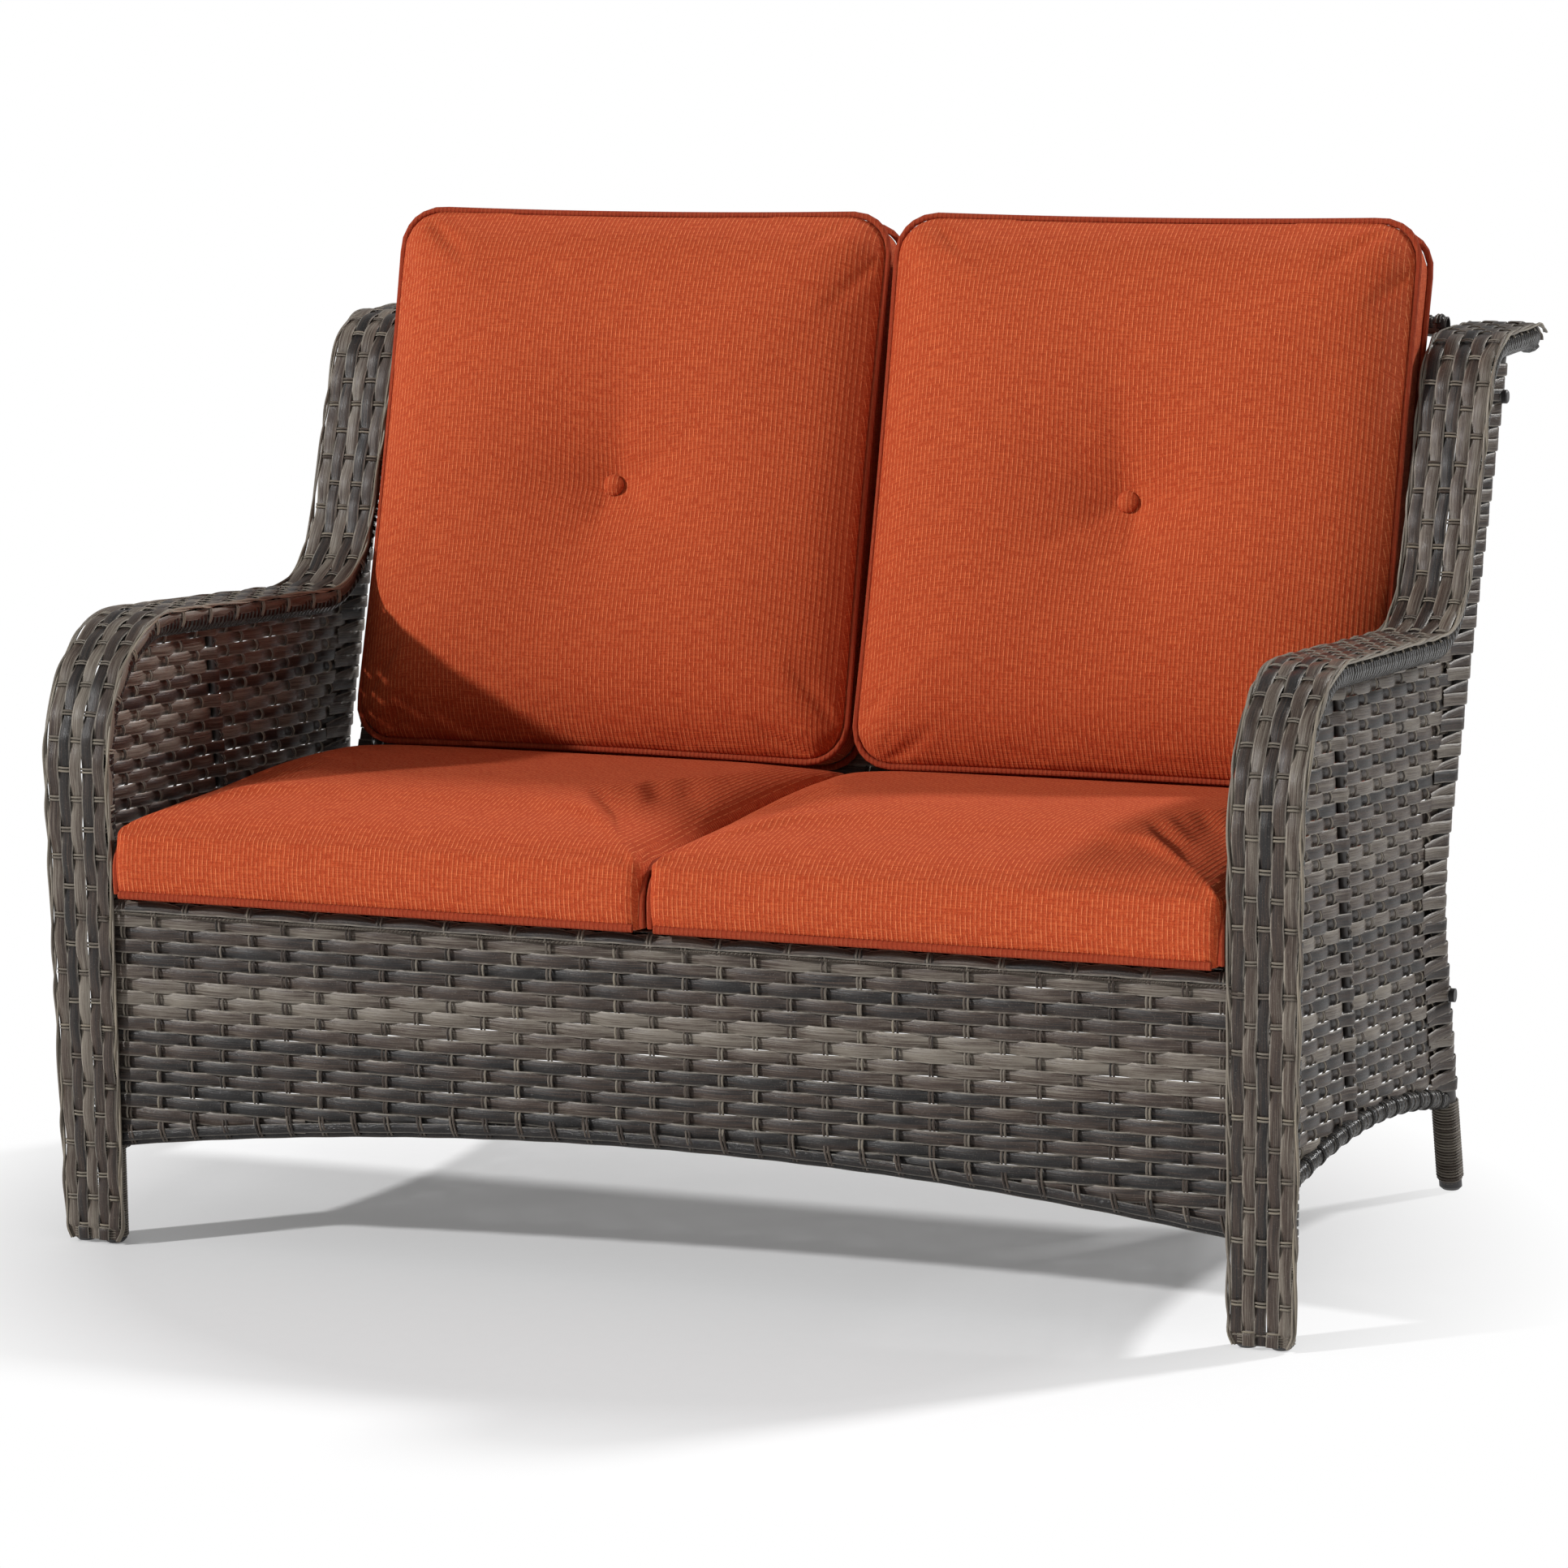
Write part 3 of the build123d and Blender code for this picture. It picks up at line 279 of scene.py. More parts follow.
def strand_finish(name, tones, roughness, streak=1.0, edge=EDGE_HIGHLIGHT_AND_GRIT, highlight_share=0.75, crown=2.2):
    """Extruded strand: lengthwise streaks, grooves, a painted edge highlight, grit specks and a tone for each strand.
    """
    finish = Finish(name)
    strand = finish.node("ShaderNodeAttribute", {"attribute_name": "strand"}, output="Vector")
    length, across, tone = finish.parts(strand)
    streaks = finish.noise(finish.scaled(strand, 16.0, 6.5, 31.0), 1.0, 3.0, 0.6)
    fine = finish.noise(finish.scaled(strand, 90.0, 17.0, 31.0), 1.0, 3.0, 0.7)
    patches = finish.noise(finish.scaled(strand, 11.0, 0.5, 17.0), 1.0, 1.0)
    shade = (tone + (streaks - 0.5) * 1.5 * streak + (patches - 0.5) * 0.9 + (fine - 0.5) * 0.9).clamped()
    stops = [(i / (len(tones) - 1), value) for i, value in enumerate(tones)]
    base = finish.ramp(shade, *stops)
    # Painted highlight: each strand's edges lightened towards the edge colour, broken up by the fine streaks
    painted_edge_highlight = finish.range(across.size(), 0.70, 0.95).clamped() * finish.range(fine, 0.38, 0.62, 0.1, 1.0).clamped()
    base = finish.mix(painted_edge_highlight * highlight_share, base, edge)
    # Grit specks, tinted with the same light colour as the painted edge highlight
    grit = finish.noise(finish.place(), 900.0, 2.0, 0.6)
    base = finish.mix(finish.range(grit, 0.62, 0.78, 0.0, 0.30), base, edge)
    grooves = finish.noise(finish.scaled(strand, 3.0, 7.0, 31.0), 1.0, 2.0, 0.6)
    height = grooves * 0.8 + streaks * 0.5 + fine * 0.5 + grit * 0.15 - across * across * crown
    return finish.surface(
        base_color=base,
        roughness=finish.range(streaks, 0.25, 0.75, roughness - 0.07, roughness + 0.12),
        specular_ior_level=0.34,
        normal=finish.bump(height, 0.55, 0.0009),
    )


def make_finishes():
    """All the finishes, by name."""
    charcoal, umber, taupe, khaki = (colour(name) for name in ("charcoal", "umber", "taupe", "khaki"))
    return {
        "flat": strand_finish("woven_flat_strand", (charcoal, umber, taupe), 0.36),
        "dark": strand_finish(
            "wound_dark_strand", (NEAR_BLACK, charcoal, umber), 0.20, 0.8, highlight_share=0.4, crown=0.6
        ),
        "thin": strand_finish("thin_round_strand", (charcoal, umber, taupe, khaki), 0.42, 0.4),
        "cord": strand_finish("edge_cord_strand", (umber, taupe, khaki), 0.40, 0.8, CORD_HIGHLIGHT_AND_GRIT, 0.5),
        "fabric": fabric_finish("slub_weave_fabric"),
        "welt": fabric_finish("welt_fabric", True),
        "steel": coated_finish("coated_frame_steel", (0.030, 0.026, 0.024), 0.38),
        "plastic": coated_finish("moulded_black_plastic", (0.018, 0.017, 0.017), 0.45),
        "zinc": zinc_finish("zinc_plated_steel"),
        "thread": thread_finish("waxed_tie_thread"),
    }


DEEP_GROUND = (0.30, 0.032, 0.010)
LIGHT_WEFT = (0.66, 0.135, 0.040)
WELT_TONE = (0.24, 0.030, 0.012)
RIB_PITCH, WEFT_PITCH = 0.0050, 0.0013


def fabric_finish(name, welt=False):
    """Slub weave: fine ribs with light broken threads along them and a fine cross weave."""
    finish = Finish(name)
    place = finish.place()
    normal = finish.node("ShaderNodeTexCoord", output="Normal")
    x, y, z = finish.parts(place)
    turned = finish.parts(normal)[0].size() > 0.72
    drift = finish.noise(place, 5.0, 1.0)
    rib_place = x * (1.0 - turned) + y * turned + (drift - 0.5) * 0.004
    run_place = (y + z) * (1.0 - turned) + z * turned
    rib = (rib_place * (math.pi / RIB_PITCH)).wave()
    weft = (run_place * (math.pi / WEFT_PITCH)).wave()
    cells = finish.joined(rib_place * 400.0, run_place * 110.0, 0.0)
    dash = finish.noise(cells, 1.0, 1.0, 0.5)
    grain = finish.noise(finish.joined(rib_place * 900.0, run_place * 700.0, 0.0), 1.0, 2.0, 0.6)
    coarse = finish.noise(finish.joined(rib_place * 34.0, run_place * 620.0, 0.0), 1.0, 2.0, 0.6)
    thread = (finish.range(rib.size(), 0.955, 1.0) * finish.range(dash, 0.38, 0.56)).clamped()
    ground = finish.mix(finish.range(grain, 0.30, 0.72), DEEP_GROUND, colour("fabric"))
    ground = finish.mix(finish.range(coarse, 0.45, 0.70, 0.0, 0.45), ground, LIGHT_WEFT)
    light = finish.mix(thread * 0.85, ground, colour("slub"))
    height = rib.size() * 0.7 + weft.size() * 0.35 + grain * 0.45
    if welt:
        light = finish.mix(0.7, light, WELT_TONE)
    return finish.surface(
        base_color=light,
        roughness=0.92,
        specular_ior_level=0.2,
        normal=finish.bump(height, 0.6, 0.0011),
    )


def coated_finish(name, base, roughness):
    """Powder coat or moulded plastic: a slight orange peel and dulled patches."""
    finish = Finish(name)
    place = finish.place()
    peel = finish.noise(place, 900.0, 1.0)
    patches = finish.noise(place, 40.0, 3.0, 0.6)
    lighter = tuple(min(1.0, value * 1.9 + 0.006) for value in base)
    return finish.surface(
        base_color=finish.mix(finish.range(patches, 0.3, 0.75), base, lighter),
        roughness=finish.range(patches, 0.3, 0.7, roughness - 0.06, roughness + 0.1),
        normal=finish.bump(peel, 0.25, 0.0004),
    )


def zinc_finish(name):
    """Zinc-plated steel with its spangle."""
    finish = Finish(name)
    spangle = finish.noise(finish.place(), 300.0, 3.0, 0.6)
    return finish.surface(
        base_color=finish.mix(spangle, (0.36, 0.37, 0.38), (0.62, 0.62, 0.60)),
        metallic=1.0,
        roughness=finish.range(spangle, 0.3, 0.7, 0.28, 0.45),
        normal=finish.bump(spangle, 0.1, 0.0003),
    )


def thread_finish(name):
    """Twisted thread."""
    finish = Finish(name)
    twist = finish.noise(finish.scaled(finish.place(), 1500.0, 1500.0, 500.0), 1.0, 1.0)
    return finish.surface(
        base_color=finish.mix(twist, (0.42, 0.055, 0.016), (0.62, 0.12, 0.04)),
        roughness=0.8,
        normal=finish.bump(twist, 0.4, 0.0004),
    )


FINISHES = {}


def finish_for(name):
    if not FINISHES:
        FINISHES.update(make_finishes())
    return FINISHES[name]


# ---------------------------------------------------------------- lines and strands


class Track:
    """A line in the side view, of straights and bends, with its depth, height and heading along it."""

    def __init__(self, y, z, heading, runs):
        lengths, ys, zs, headings = [0.0], [y], [z], [heading]
        for run in runs:
            size, turn = run if isinstance(run, tuple) else (run, 0.0)
            steps = max(2, math.ceil(abs(turn) / 3.0)) if turn else 2
            stretch = size * math.radians(abs(turn)) if turn else size
            for _ in range(steps):
                middle = math.radians(headings[-1] + turn / steps / 2)
                lengths.append(lengths[-1] + stretch / steps)
                ys.append(ys[-1] + stretch / steps * math.cos(middle))
                zs.append(zs[-1] + stretch / steps * math.sin(middle))
                headings.append(headings[-1] + turn / steps)
        self.lengths, self.ys, self.zs, self.headings = map(np.array, (lengths, ys, zs, headings))
        self.length = lengths[-1]

    def at(self, s, out=0.0):
        """Depth and height at a length, set off to the left of the way along."""
        turned = np.radians(np.interp(s, self.lengths, self.headings) + 90.0)
        y = np.interp(s, self.lengths, self.ys) + out * np.cos(turned)
        return y, np.interp(s, self.lengths, self.zs) + out * np.sin(turned)

    def along(self, s):
        """Unit vectors along the line and square to it."""
        turned = np.radians(np.interp(s, self.lengths, self.headings))
        none = np.zeros_like(turned)
        return (
            np.stack([none, np.cos(turned), np.sin(turned)], -1),
            np.stack([none, -np.sin(turned), np.cos(turned)], -1),
        )


LEAN = 21.4
FLARE = math.tan(math.radians(0.75))
TOE = math.tan(math.radians(3.2))
FALL = math.tan(math.radians(4.0))
TUBE_INSET = 15.3
INNER_TUBE = 603.5
OUTER_TUBE = 636.5
KNEE = (579.0, 336.0)
KNEE_BEND = 200.0
REAR_FOOT = 660.0
# Straights, and bends with their radius and turn, from the front foot to the scroll's tip
ARM = Track(
    0.0, 0.0, 90.0, [487.0, (150.0, -94.0), 360.0, (100.0, 72.6), 175.0, (90.0, -68.6), 116.0, (70.0, -34.0)]
)
SPLAY = math.degrees(math.atan2(KNEE[1], KNEE[0] - REAR_FOOT))
KNEE_CUT = KNEE_BEND * math.tan(math.radians(SPLAY - 90.0 + LEAN) / 2)
LEG = Track(
    REAR_FOOT, 0.0, SPLAY,
    [math.hypot(KNEE[1], REAR_FOOT - KNEE[0]) - KNEE_CUT, (KNEE_BEND, 90.0 - LEAN - SPLAY), 560.0],
)
# The side arch: heights of its ends and middle, and how far it stays from the front and the rear leg
ARCH_END, ARCH_MIDDLE = 104.0, 141.0
ARCH_FRONT, ARCH_REAR = 27.6, 12.0


def rear_line(z):
    """Depth of the rear leg's line at a height."""
    return np.interp(z, LEG.zs, LEG.ys)


def panel_x(y):
    """Sideways place of a side panel's middle at a depth."""
    return 599.1 + (y - TUBE_INSET) * TOE


def arc_height(x, half, end, middle):
    """Height of an arch through its middle and both ends."""
    rise = middle - end
    radius = (half**2 + rise**2) / (2 * rise)
    return middle - radius + np.sqrt(np.maximum(radius**2 - np.square(x), 0.0))


def side_arch(y):
    """Height of the side arch's line at a depth."""
    half = (rear_line(ARCH_END) - ARCH_REAR - ARCH_FRONT) / 2
    return arc_height(y - ARCH_FRONT - half, half, ARCH_END, ARCH_MIDDLE)


def line(x, y, z):
    """Points from their coordinates, each one for every point or one for all."""
    return np.stack(np.broadcast_arrays(x, y, z), -1)


def units(vectors):
    return vectors / np.maximum(np.linalg.norm(vectors, axis=-1, keepdims=True), 1e-9)


def inside(polygon, y, z):
    """Whether points lie in a polygon."""
    within = np.zeros(np.shape(y), bool)
    for (ya, za), (yb, zb) in zip(polygon, np.roll(polygon, -1, axis=0)):
        crosses = (za > z) != (zb > z)
        within ^= crosses & (y < (yb - ya) * (z - za) / (zb - za + 1e-12) + ya)
    return within


def runs_of(kept, least=3):
    """Stretches of neighbouring points that are kept."""
    edges = np.flatnonzero(np.diff(np.concatenate(([0], kept.astype(int), [0]))))
    return [slice(a, b) for a, b in edges.reshape(-1, 2) if b - a >= least]


class Strands:
    """Flat and round strands, gathered in one mesh."""

    def __init__(self, seed):
        self.points, self.faces, self.marks, self.count = [], [], [], 0
        self.chance = np.random.default_rng(seed)

    def lay(self, path, across, width, thickness, tone=0.5, sides=0):
        """Lays one strand along a path, flat to the direction across it, or round with so many sides."""
        path = np.asarray(path, float)
        steps = np.linalg.norm(np.diff(path, axis=0), axis=1)
        along = units(np.gradient(path, axis=0))
        out = units(np.cross(along, np.broadcast_to(across, path.shape)))
        across = np.cross(out, along)
        width = np.broadcast_to(width, len(path))[:, None]
        if sides:
            turn = np.arange(sides) * 2 * np.pi / sides + 0.3
            a, b, mark = np.cos(turn) / 2, np.sin(turn) / 2, np.cos(turn)
        else:
            a = np.array([-0.5, -0.40, 0.40, 0.5, 0.40, -0.40])
            b = np.array([0.0, -0.5, -0.5, 0.0, 0.5, 0.5])
            mark = a * 2
        ring = path[:, None] + across[:, None] * (a * width)[..., None] + out[:, None] * (b * thickness)[:, None]
        rows, columns = len(path), len(a)
        index = np.arange(rows * columns).reshape(rows, columns) + sum(map(len, self.points))
        turned = np.roll(index, -1, axis=1)
        quads = np.stack([index[:-1], turned[:-1], turned[1:], index[1:]], -1).reshape(-1, 4)
        self.faces += quads.tolist() + [index[0, ::-1].tolist(), index[-1].tolist()]
        length = np.concatenate([[0.0], np.cumsum(steps)]) * MM + self.count * 0.37
        marks = np.empty((rows, columns, 3))
        marks[..., 0], marks[..., 1], marks[..., 2] = length[:, None], mark, tone
        self.points.append(ring.reshape(-1, 3))
        self.marks.append(marks.reshape(-1, 3))
        self.count += 1

    def tone(self, *choices):
        """A tone near one of the choices."""
        return float(np.clip(self.chance.choice(choices) + self.chance.normal(0.0, 0.06), 0.0, 1.0))

    def wobble(self, s, size, reach=90.0):
        """A slow seeded drift along a length."""
        phase = self.chance.uniform(0.0, 2 * np.pi, 3)
        stretch = reach * self.chance.uniform(0.8, 1.6, 3)
        return size * sum(np.sin(s / stretch[i] * 2 * np.pi + phase[i]) for i in range(3)) / 2

    def wind(self, centre, e1, e2, along, radius, turns, width, thickness, tone, sides=0, start=0.0, squash=None):
        """Winds a strand round a bar whose centre line and directions are given for every step."""
        angle = turns * 2 * np.pi + start
        path = centre + radius * (np.cos(angle)[:, None] * e1 + np.sin(angle)[:, None] * e2)
        if squash is not None:
            over = np.maximum(((path - centre) * e2).sum(-1) - squash, 0.0)
            path = path - over[:, None] * e2
        self.lay(path, along, width, thickness, tone, sides)

    def piece(self, name, finish, side=1.0):
        """Makes the mesh object, mirrored for the left side, and shades it smooth."""
        points = placed(np.concatenate(self.points), side)
        faces = [face[::-1] for face in self.faces] if side < 0 else self.faces
        mesh = bpy.data.meshes.new(name)
        mesh.from_pydata(points.tolist(), [], faces)
        marks = mesh.attributes.new("strand", "FLOAT_VECTOR", "POINT")
        marks.data.foreach_set("vector", np.concatenate(self.marks).ravel().astype(np.float32))
        made = bpy.data.objects.new(name, mesh)
        bpy.context.scene.collection.objects.link(made)
        mesh.materials.append(finish_for(finish))
        only(made)
        angle = ROUND_ANGLE if finish in ("thin", "cord", "welt") else FLAT_ANGLE
        bpy.ops.object.shade_smooth_by_angle(angle=math.radians(angle))
        made.select_set(False)
        return made


# Faces that meet at up to this angle shade smooth, on round strands and on flat ones
ROUND_ANGLE, FLAT_ANGLE = 80.0, 40.0


def placed(points, side=1.0):
    """Points in millimetres behind the front, moved to their place in metres on one side."""
    return (points + (0.0, FRONT, 0.0)) * MM * (side, 1.0, 1.0)


def only(made):
    """Selects one object and nothing else."""
    bpy.ops.object.select_all(action="DESELECT")
    made.select_set(True)
    bpy.context.view_layer.objects.active = made


def settle(piece, body, slot, *nodes):
    """Puts a piece on its body and hides the nodes it stands for. The slot is not used."""
    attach(piece, body)
    if nodes:
        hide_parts(*nodes)


def woven(strands, name, finish, *nodes, side=1.0, body="frame", slot="wicker"):
    """Makes one piece of strands and settles it."""
    settle(strands.piece(name, finish, side), body, slot, *nodes)


# ---------------------------------------------------------------- arm bands and cords

BAND_X = 590.8
BAND_WIDE = 58.4
BAND_LIFT = 1.5
BAND_MIDDLE = -1.9
BAND_ROUND = 0.5
PAIR_GAP = 1.8


def band_place(s, share, out):
    """A point on the arm band: along it, across it from the inner edge, and out from its face."""
    y, z = ARM.at(s, out)
    return line(BAND_X + share * (BAND_WIDE + z * FLARE), y, z)


def band_rows(chance, step):
    """Lengths at which cross pairs lie, a little uneven as by hand."""
    count = int(ARM.length / step)
    return 16.0 + np.arange(count) * (ARM.length - 30.0) / count + chance.normal(0.0, 1.3, count)


def make_band(side):
    """Five flat strands over the arm, crossed by pairs of thin ones."""
    sizes = bpy.context.scene.loveseat_weave
    flat, thin = Strands(11 if side > 0 else 12), Strands(13)
    rows = band_rows(np.random.default_rng(5 if side > 0 else 6), sizes.band_step / MM)
    order = np.arange(len(rows))
    tones = (0.22, 0.58, 0.12, 0.45, 0.66) if side > 0 else (0.45, 0.22, 0.75, 0.15, 0.60)
    s = np.arange(4.0, ARM.length + 14.0, 3.6)
    phase = np.interp(s, rows, order, left=-1.0, right=len(rows))
    for strand in range(5):
        share = (strand + 0.5) / 5
        out = BAND_MIDDLE + BAND_LIFT * np.cos(np.pi * (phase - strand)) - BAND_ROUND * (abs(strand - 2) > 1)
        path = band_place(s, share + flat.wobble(s, 0.010), out)
        over = s > ARM.length
        path[over] = tip_curl(s[over], share, out[over])
        width = (BAND_WIDE + path[:, 2] * FLARE) / 5 + 0.5 + flat.wobble(s, 0.35, 60.0)
        flat.lay(path, SIDEWAYS, width, sizes.strand_thickness / MM, tones[strand])
    for j, at in enumerate(rows):
        for shift in (-1.65, 1.65):
            share = np.linspace(-0.02, 1.02, 31)
            out = BAND_MIDDLE - BAND_LIFT * np.cos(np.pi * (j - (5 * share - 0.5)))
            out = out - BAND_ROUND * np.clip((np.abs(share - 0.5) - 0.3) / 0.15, 0.0, 1.0)
            path = band_place(at + shift + 0.8 * np.sin(share * 3.0 + j), share, out)
            path[[0, -1], 1:] = ARM.at(at + shift, -9.0)
            thin.lay(path, ARM.along(at)[0], 2.3, 1.3, thin.tone(0.55, 0.75), 5)
    return flat, thin


def tip_curl(s, share, out):
    """The band's strands carried round the scroll bar at the tip."""
    y, z = ARM.at(ARM.length, -TUBE_INSET)
    heading = math.radians(ARM.headings[-1] + 90.0)
    turn = heading - (s - ARM.length) / (TUBE_INSET - 2.0)
    radius = TUBE_INSET + out
    height = z + radius * np.sin(turn)
    return line(BAND_X + share * (BAND_WIDE + height * FLARE), y + radius * np.cos(turn), height)


# Sideways place of each edge cord at the floor, and how far it follows the flare
CORD_LINES = ((588.1, 0.0), (652.0, 1.0))


def make_cords(side):
    """Two nearly parallel strands twisted along each edge of the arm band."""
    twist = bpy.context.scene.loveseat_weave.cord_twist / MM
    cords = Strands(21 if side > 0 else 22)
    for edge, (base, drift) in enumerate(CORD_LINES):
        for ply in (0, 1):
            s = np.arange(3.5, ARM.length + 6.0, 4.0)
            angle = s / twist * 2 * np.pi + ply * np.pi + cords.wobble(s, 0.9, 120.0) + edge
            y, z = ARM.at(s, -2.6 + 1.25 * np.sin(angle))
            x = base + drift * z * FLARE + 1.55 * np.cos(angle)
            foot = np.clip((20.0 - s) / 16.0, 0.0, 1.0) ** 2
            x = x + (6.0 if edge == 0 else -6.0) * foot
            across = line(np.cos(angle * 0.5), np.sin(angle * 0.5), 0.0)
            cords.lay(line(x, y, z), across, 3.3, 2.5, cords.tone(0.45, 0.75), 6)
    return cords


def tube_frame(base, flared, s):
    """Centre line and directions of an arm tube at lengths along the arm."""
    y, z = ARM.at(s, -TUBE_INSET)
    along, out = ARM.along(s)
    return line(base + flared * z * FLARE, y, z), SIDEWAYS, out, along


# Spacing of the dark loops and of the fine foot turns on the arm tubes, and of the pairs that tie the inner strand
LOOP_PITCH, TURN_PITCH, TIE_PITCH = 8.6, 2.5, 60.0


def make_tube_wraps():
    """Dense dark loops round the arm tubes, fine turns at their feet and a tied lengthwise strand inside."""
    dark, fine = Strands(31), Strands(32)
    for base, flared, first in ((OUTER_TUBE, 1.0, 96.0), (INNER_TUBE, 0.0, 350.0)):
        turns = np.arange(0.0, (ARM.length - 8.0 - first) / LOOP_PITCH, 1 / 14)
        s = first + turns * LOOP_PITCH + 0.8 * np.sin(turns * 0.9) + 0.5 * np.sin(turns * 2.3)
        dark.wind(*tube_frame(base, flared, s), 13.0, turns, width=6.2, thickness=3.4, tone=0.10, squash=9.2)
        turns = np.arange(0.0, (first - 6.0) / TURN_PITCH, 1 / 12)
        s = 6.0 + turns * TURN_PITCH
        fine.wind(*tube_frame(base, flared, s), 13.1, turns, width=2.3, thickness=1.9, tone=0.7, sides=5, squash=11.4)
    s = np.arange(360.0, ARM.length - 4.0, 5.0)
    y, z = ARM.at(s, -10.5)
    path = line(589.6 + 0.9 * np.cos(np.pi * 2 * ((s - 22.0) / TIE_PITCH)), y, z)
    fine.lay(path, ARM.along(s)[1], 10.0, 1.3, 0.45)
    for at in np.arange(392.0, ARM.length - 20.0, TIE_PITCH):
        for shift in (-PAIR_GAP, PAIR_GAP):
            y, z = ARM.at(at + shift, np.array([-3.0, -5.0, -10.5, -16.0, -20.0, -24.0]))
            path = line([591.2, 589.0, 588.0, 588.6, 590.2, 594.0], y, z)
            fine.lay(path, ARM.along(at)[0], 2.4, 1.6, 0.85, 5)
    return dark, fine


class LOVESEAT_OT_arm_bands(bpy.types.Operator):
    """Weave the two arm bands over their tubes"""

    bl_idname = "loveseat.arm_bands"
    bl_label = "Arm Bands"

    def execute(self, context):
        for name, side in SIDES:
            flat, thin = make_band(side)
            woven(flat, f"{name}_band_strands", "flat", f"{name}_arm_band", side=side)
            woven(thin, f"{name}_band_cross_pairs", "thin", side=side)
        return {"FINISHED"}


class LOVESEAT_OT_edge_cords(bpy.types.Operator):
    """Lay the twisted cords down the edges of the arm bands"""

    bl_idname = "loveseat.edge_cords"
    bl_label = "Edge Cords"

    def execute(self, context):
        for name, side in SIDES:
            cords = make_cords(side)
            woven(cords, f"{name}_edge_cord_strands", "cord", f"{name}_edge_cords", side=side, slot="wicker_cord")
        return {"FINISHED"}


class LOVESEAT_OT_tube_wraps(bpy.types.Operator):
    """Wind the bindings round the arm tubes"""

    bl_idname = "loveseat.tube_wraps"
    bl_label = "Arm Tube Bindings"

    def execute(self, context):
        for name, side in SIDES:
            dark, fine = make_tube_wraps()
            woven(dark, f"{name}_arm_tube_loops", "dark", side=side)
            woven(fine, f"{name}_arm_foot_turns", "thin", side=side)
        return {"FINISHED"}


# ---------------------------------------------------------------- woven sheets


def weave(flat, thin, place, kept, rows, stakes, lift, width, pair_gap, tones, steps=6, stake_steps=4):
    """Weaves flat rows in and out of pairs of thin stakes.

    place(u, v, out) gives points for stake and row numbers, kept(points) tells which are on the sheet,
    and lift(points) is how far a strand swings each way."""
    thickness = bpy.context.scene.loveseat_weave.strand_thickness / MM
    u = np.arange(stakes[0] - 1.0, stakes[1] + 1.0 + 1e-6, 1.0 / steps)
    for row in range(*rows):
        v = row + flat.wobble(u * 36.0, 0.03, 300.0)
        swing = np.cos(np.pi * (u + row))
        flatter = np.sign(swing) * np.abs(swing) ** 0.8
        path = place(u, v, lift(place(u, v, 0.0)) * flatter)
        across = units(place(u, v + 0.3, 0.0) - place(u, v - 0.3, 0.0))
        tone = flat.tone(*tones)
        for run in runs_of(kept(path)):
            flat.lay(path[run], across[run], width * flat.chance.uniform(0.96, 1.03), thickness, tone)
    v = np.arange(rows[0] - 1.0, rows[1] + 1.0, 1.0 / stake_steps)
    for stake in range(*stakes):
        for side in (-1, 1):
            shift = stake + side * pair_gap + thin.wobble(v * 13.0, 0.012, 120.0)
            path = place(shift, v, -lift(place(shift, v, 0.0)) * np.cos(np.pi * (stake + v)))
            across = units(place(shift + 0.2, v, 0.0) - place(shift - 0.2, v, 0.0))
            tone = thin.tone(0.25, 0.55, 0.75)
            for run in runs_of(kept(path)):
                thin.lay(path[run], across[run], 2.5, 1.9, tone, 5)


def side_outline():
    """The opening that a side panel fills, as seen from the side."""
    border = 24.5
    y, z = ARM.at(np.linspace(60.0, ARM.length, 120), -border)
    over = np.flatnonzero((y > rear_line(z)) & (z > 500.0))
    last = over[0] if len(over) else len(y)
    top = np.stack([y[:last], z[:last]], -1)
    low_y = np.linspace(rear_line(ARCH_END), border, 24)
    low = np.stack([low_y, side_arch(low_y) + 7.0], -1)
    leg_z = np.linspace(top[-1, 1], 112.0, 30)
    leg = np.stack([rear_line(leg_z) - 1.0, leg_z], -1)
    return np.concatenate([top, leg, low, [[border, 60.0]]])


# The side panel: how many rows, the lowest one's height, its upright bar's depth at the arch's ends and its lean
PANEL_ROWS, PANEL_BASE = 70, 91.4
BAR_FOOT, BAR_LEAN = 334.0, 0.105


def make_side_panel(side):
    """Rows that fall to the rear, woven round an upright bar and bound round the rear leg."""
    sizes = bpy.context.scene.loveseat_weave
    step, pitch = sizes.side_step / MM, sizes.side_pitch / MM
    flat, thin = Strands(41 if side > 0 else 42), Strands(43)
    outline = side_outline()
    turned = math.atan(TOE)
    cosine, sine = math.cos(turned), math.sin(turned)

    def place(u, v, out):
        high = PANEL_BASE + pitch * (v + 0.5) + TUBE_INSET * FALL
        y = (BAR_FOOT + BAR_LEAN * (ARCH_END - high) + step * u) / (1.0 - BAR_LEAN * FALL)
        return line(panel_x(y) + out * cosine, y - out * sine, high - FALL * y)

    def lift(points):
        near = (points[:, 1] - BAR_FOOT + BAR_LEAN * (points[:, 2] - ARCH_END)) / 8.5
        return 2.6 + 3.6 * np.exp(-near * near) * (points[:, 2] < 640.0)

    def kept(points):
        return inside(outline, points[:, 1], points[:, 2])

    tones = (0.12, 0.34, 0.55, 0.75)
    weave(flat, thin, place, kept, (0, PANEL_ROWS), (-9, 17), lift, width=13.7, pair_gap=0.047, tones=tones)
    bind_rear_leg(flat, pitch)
    return flat, thin


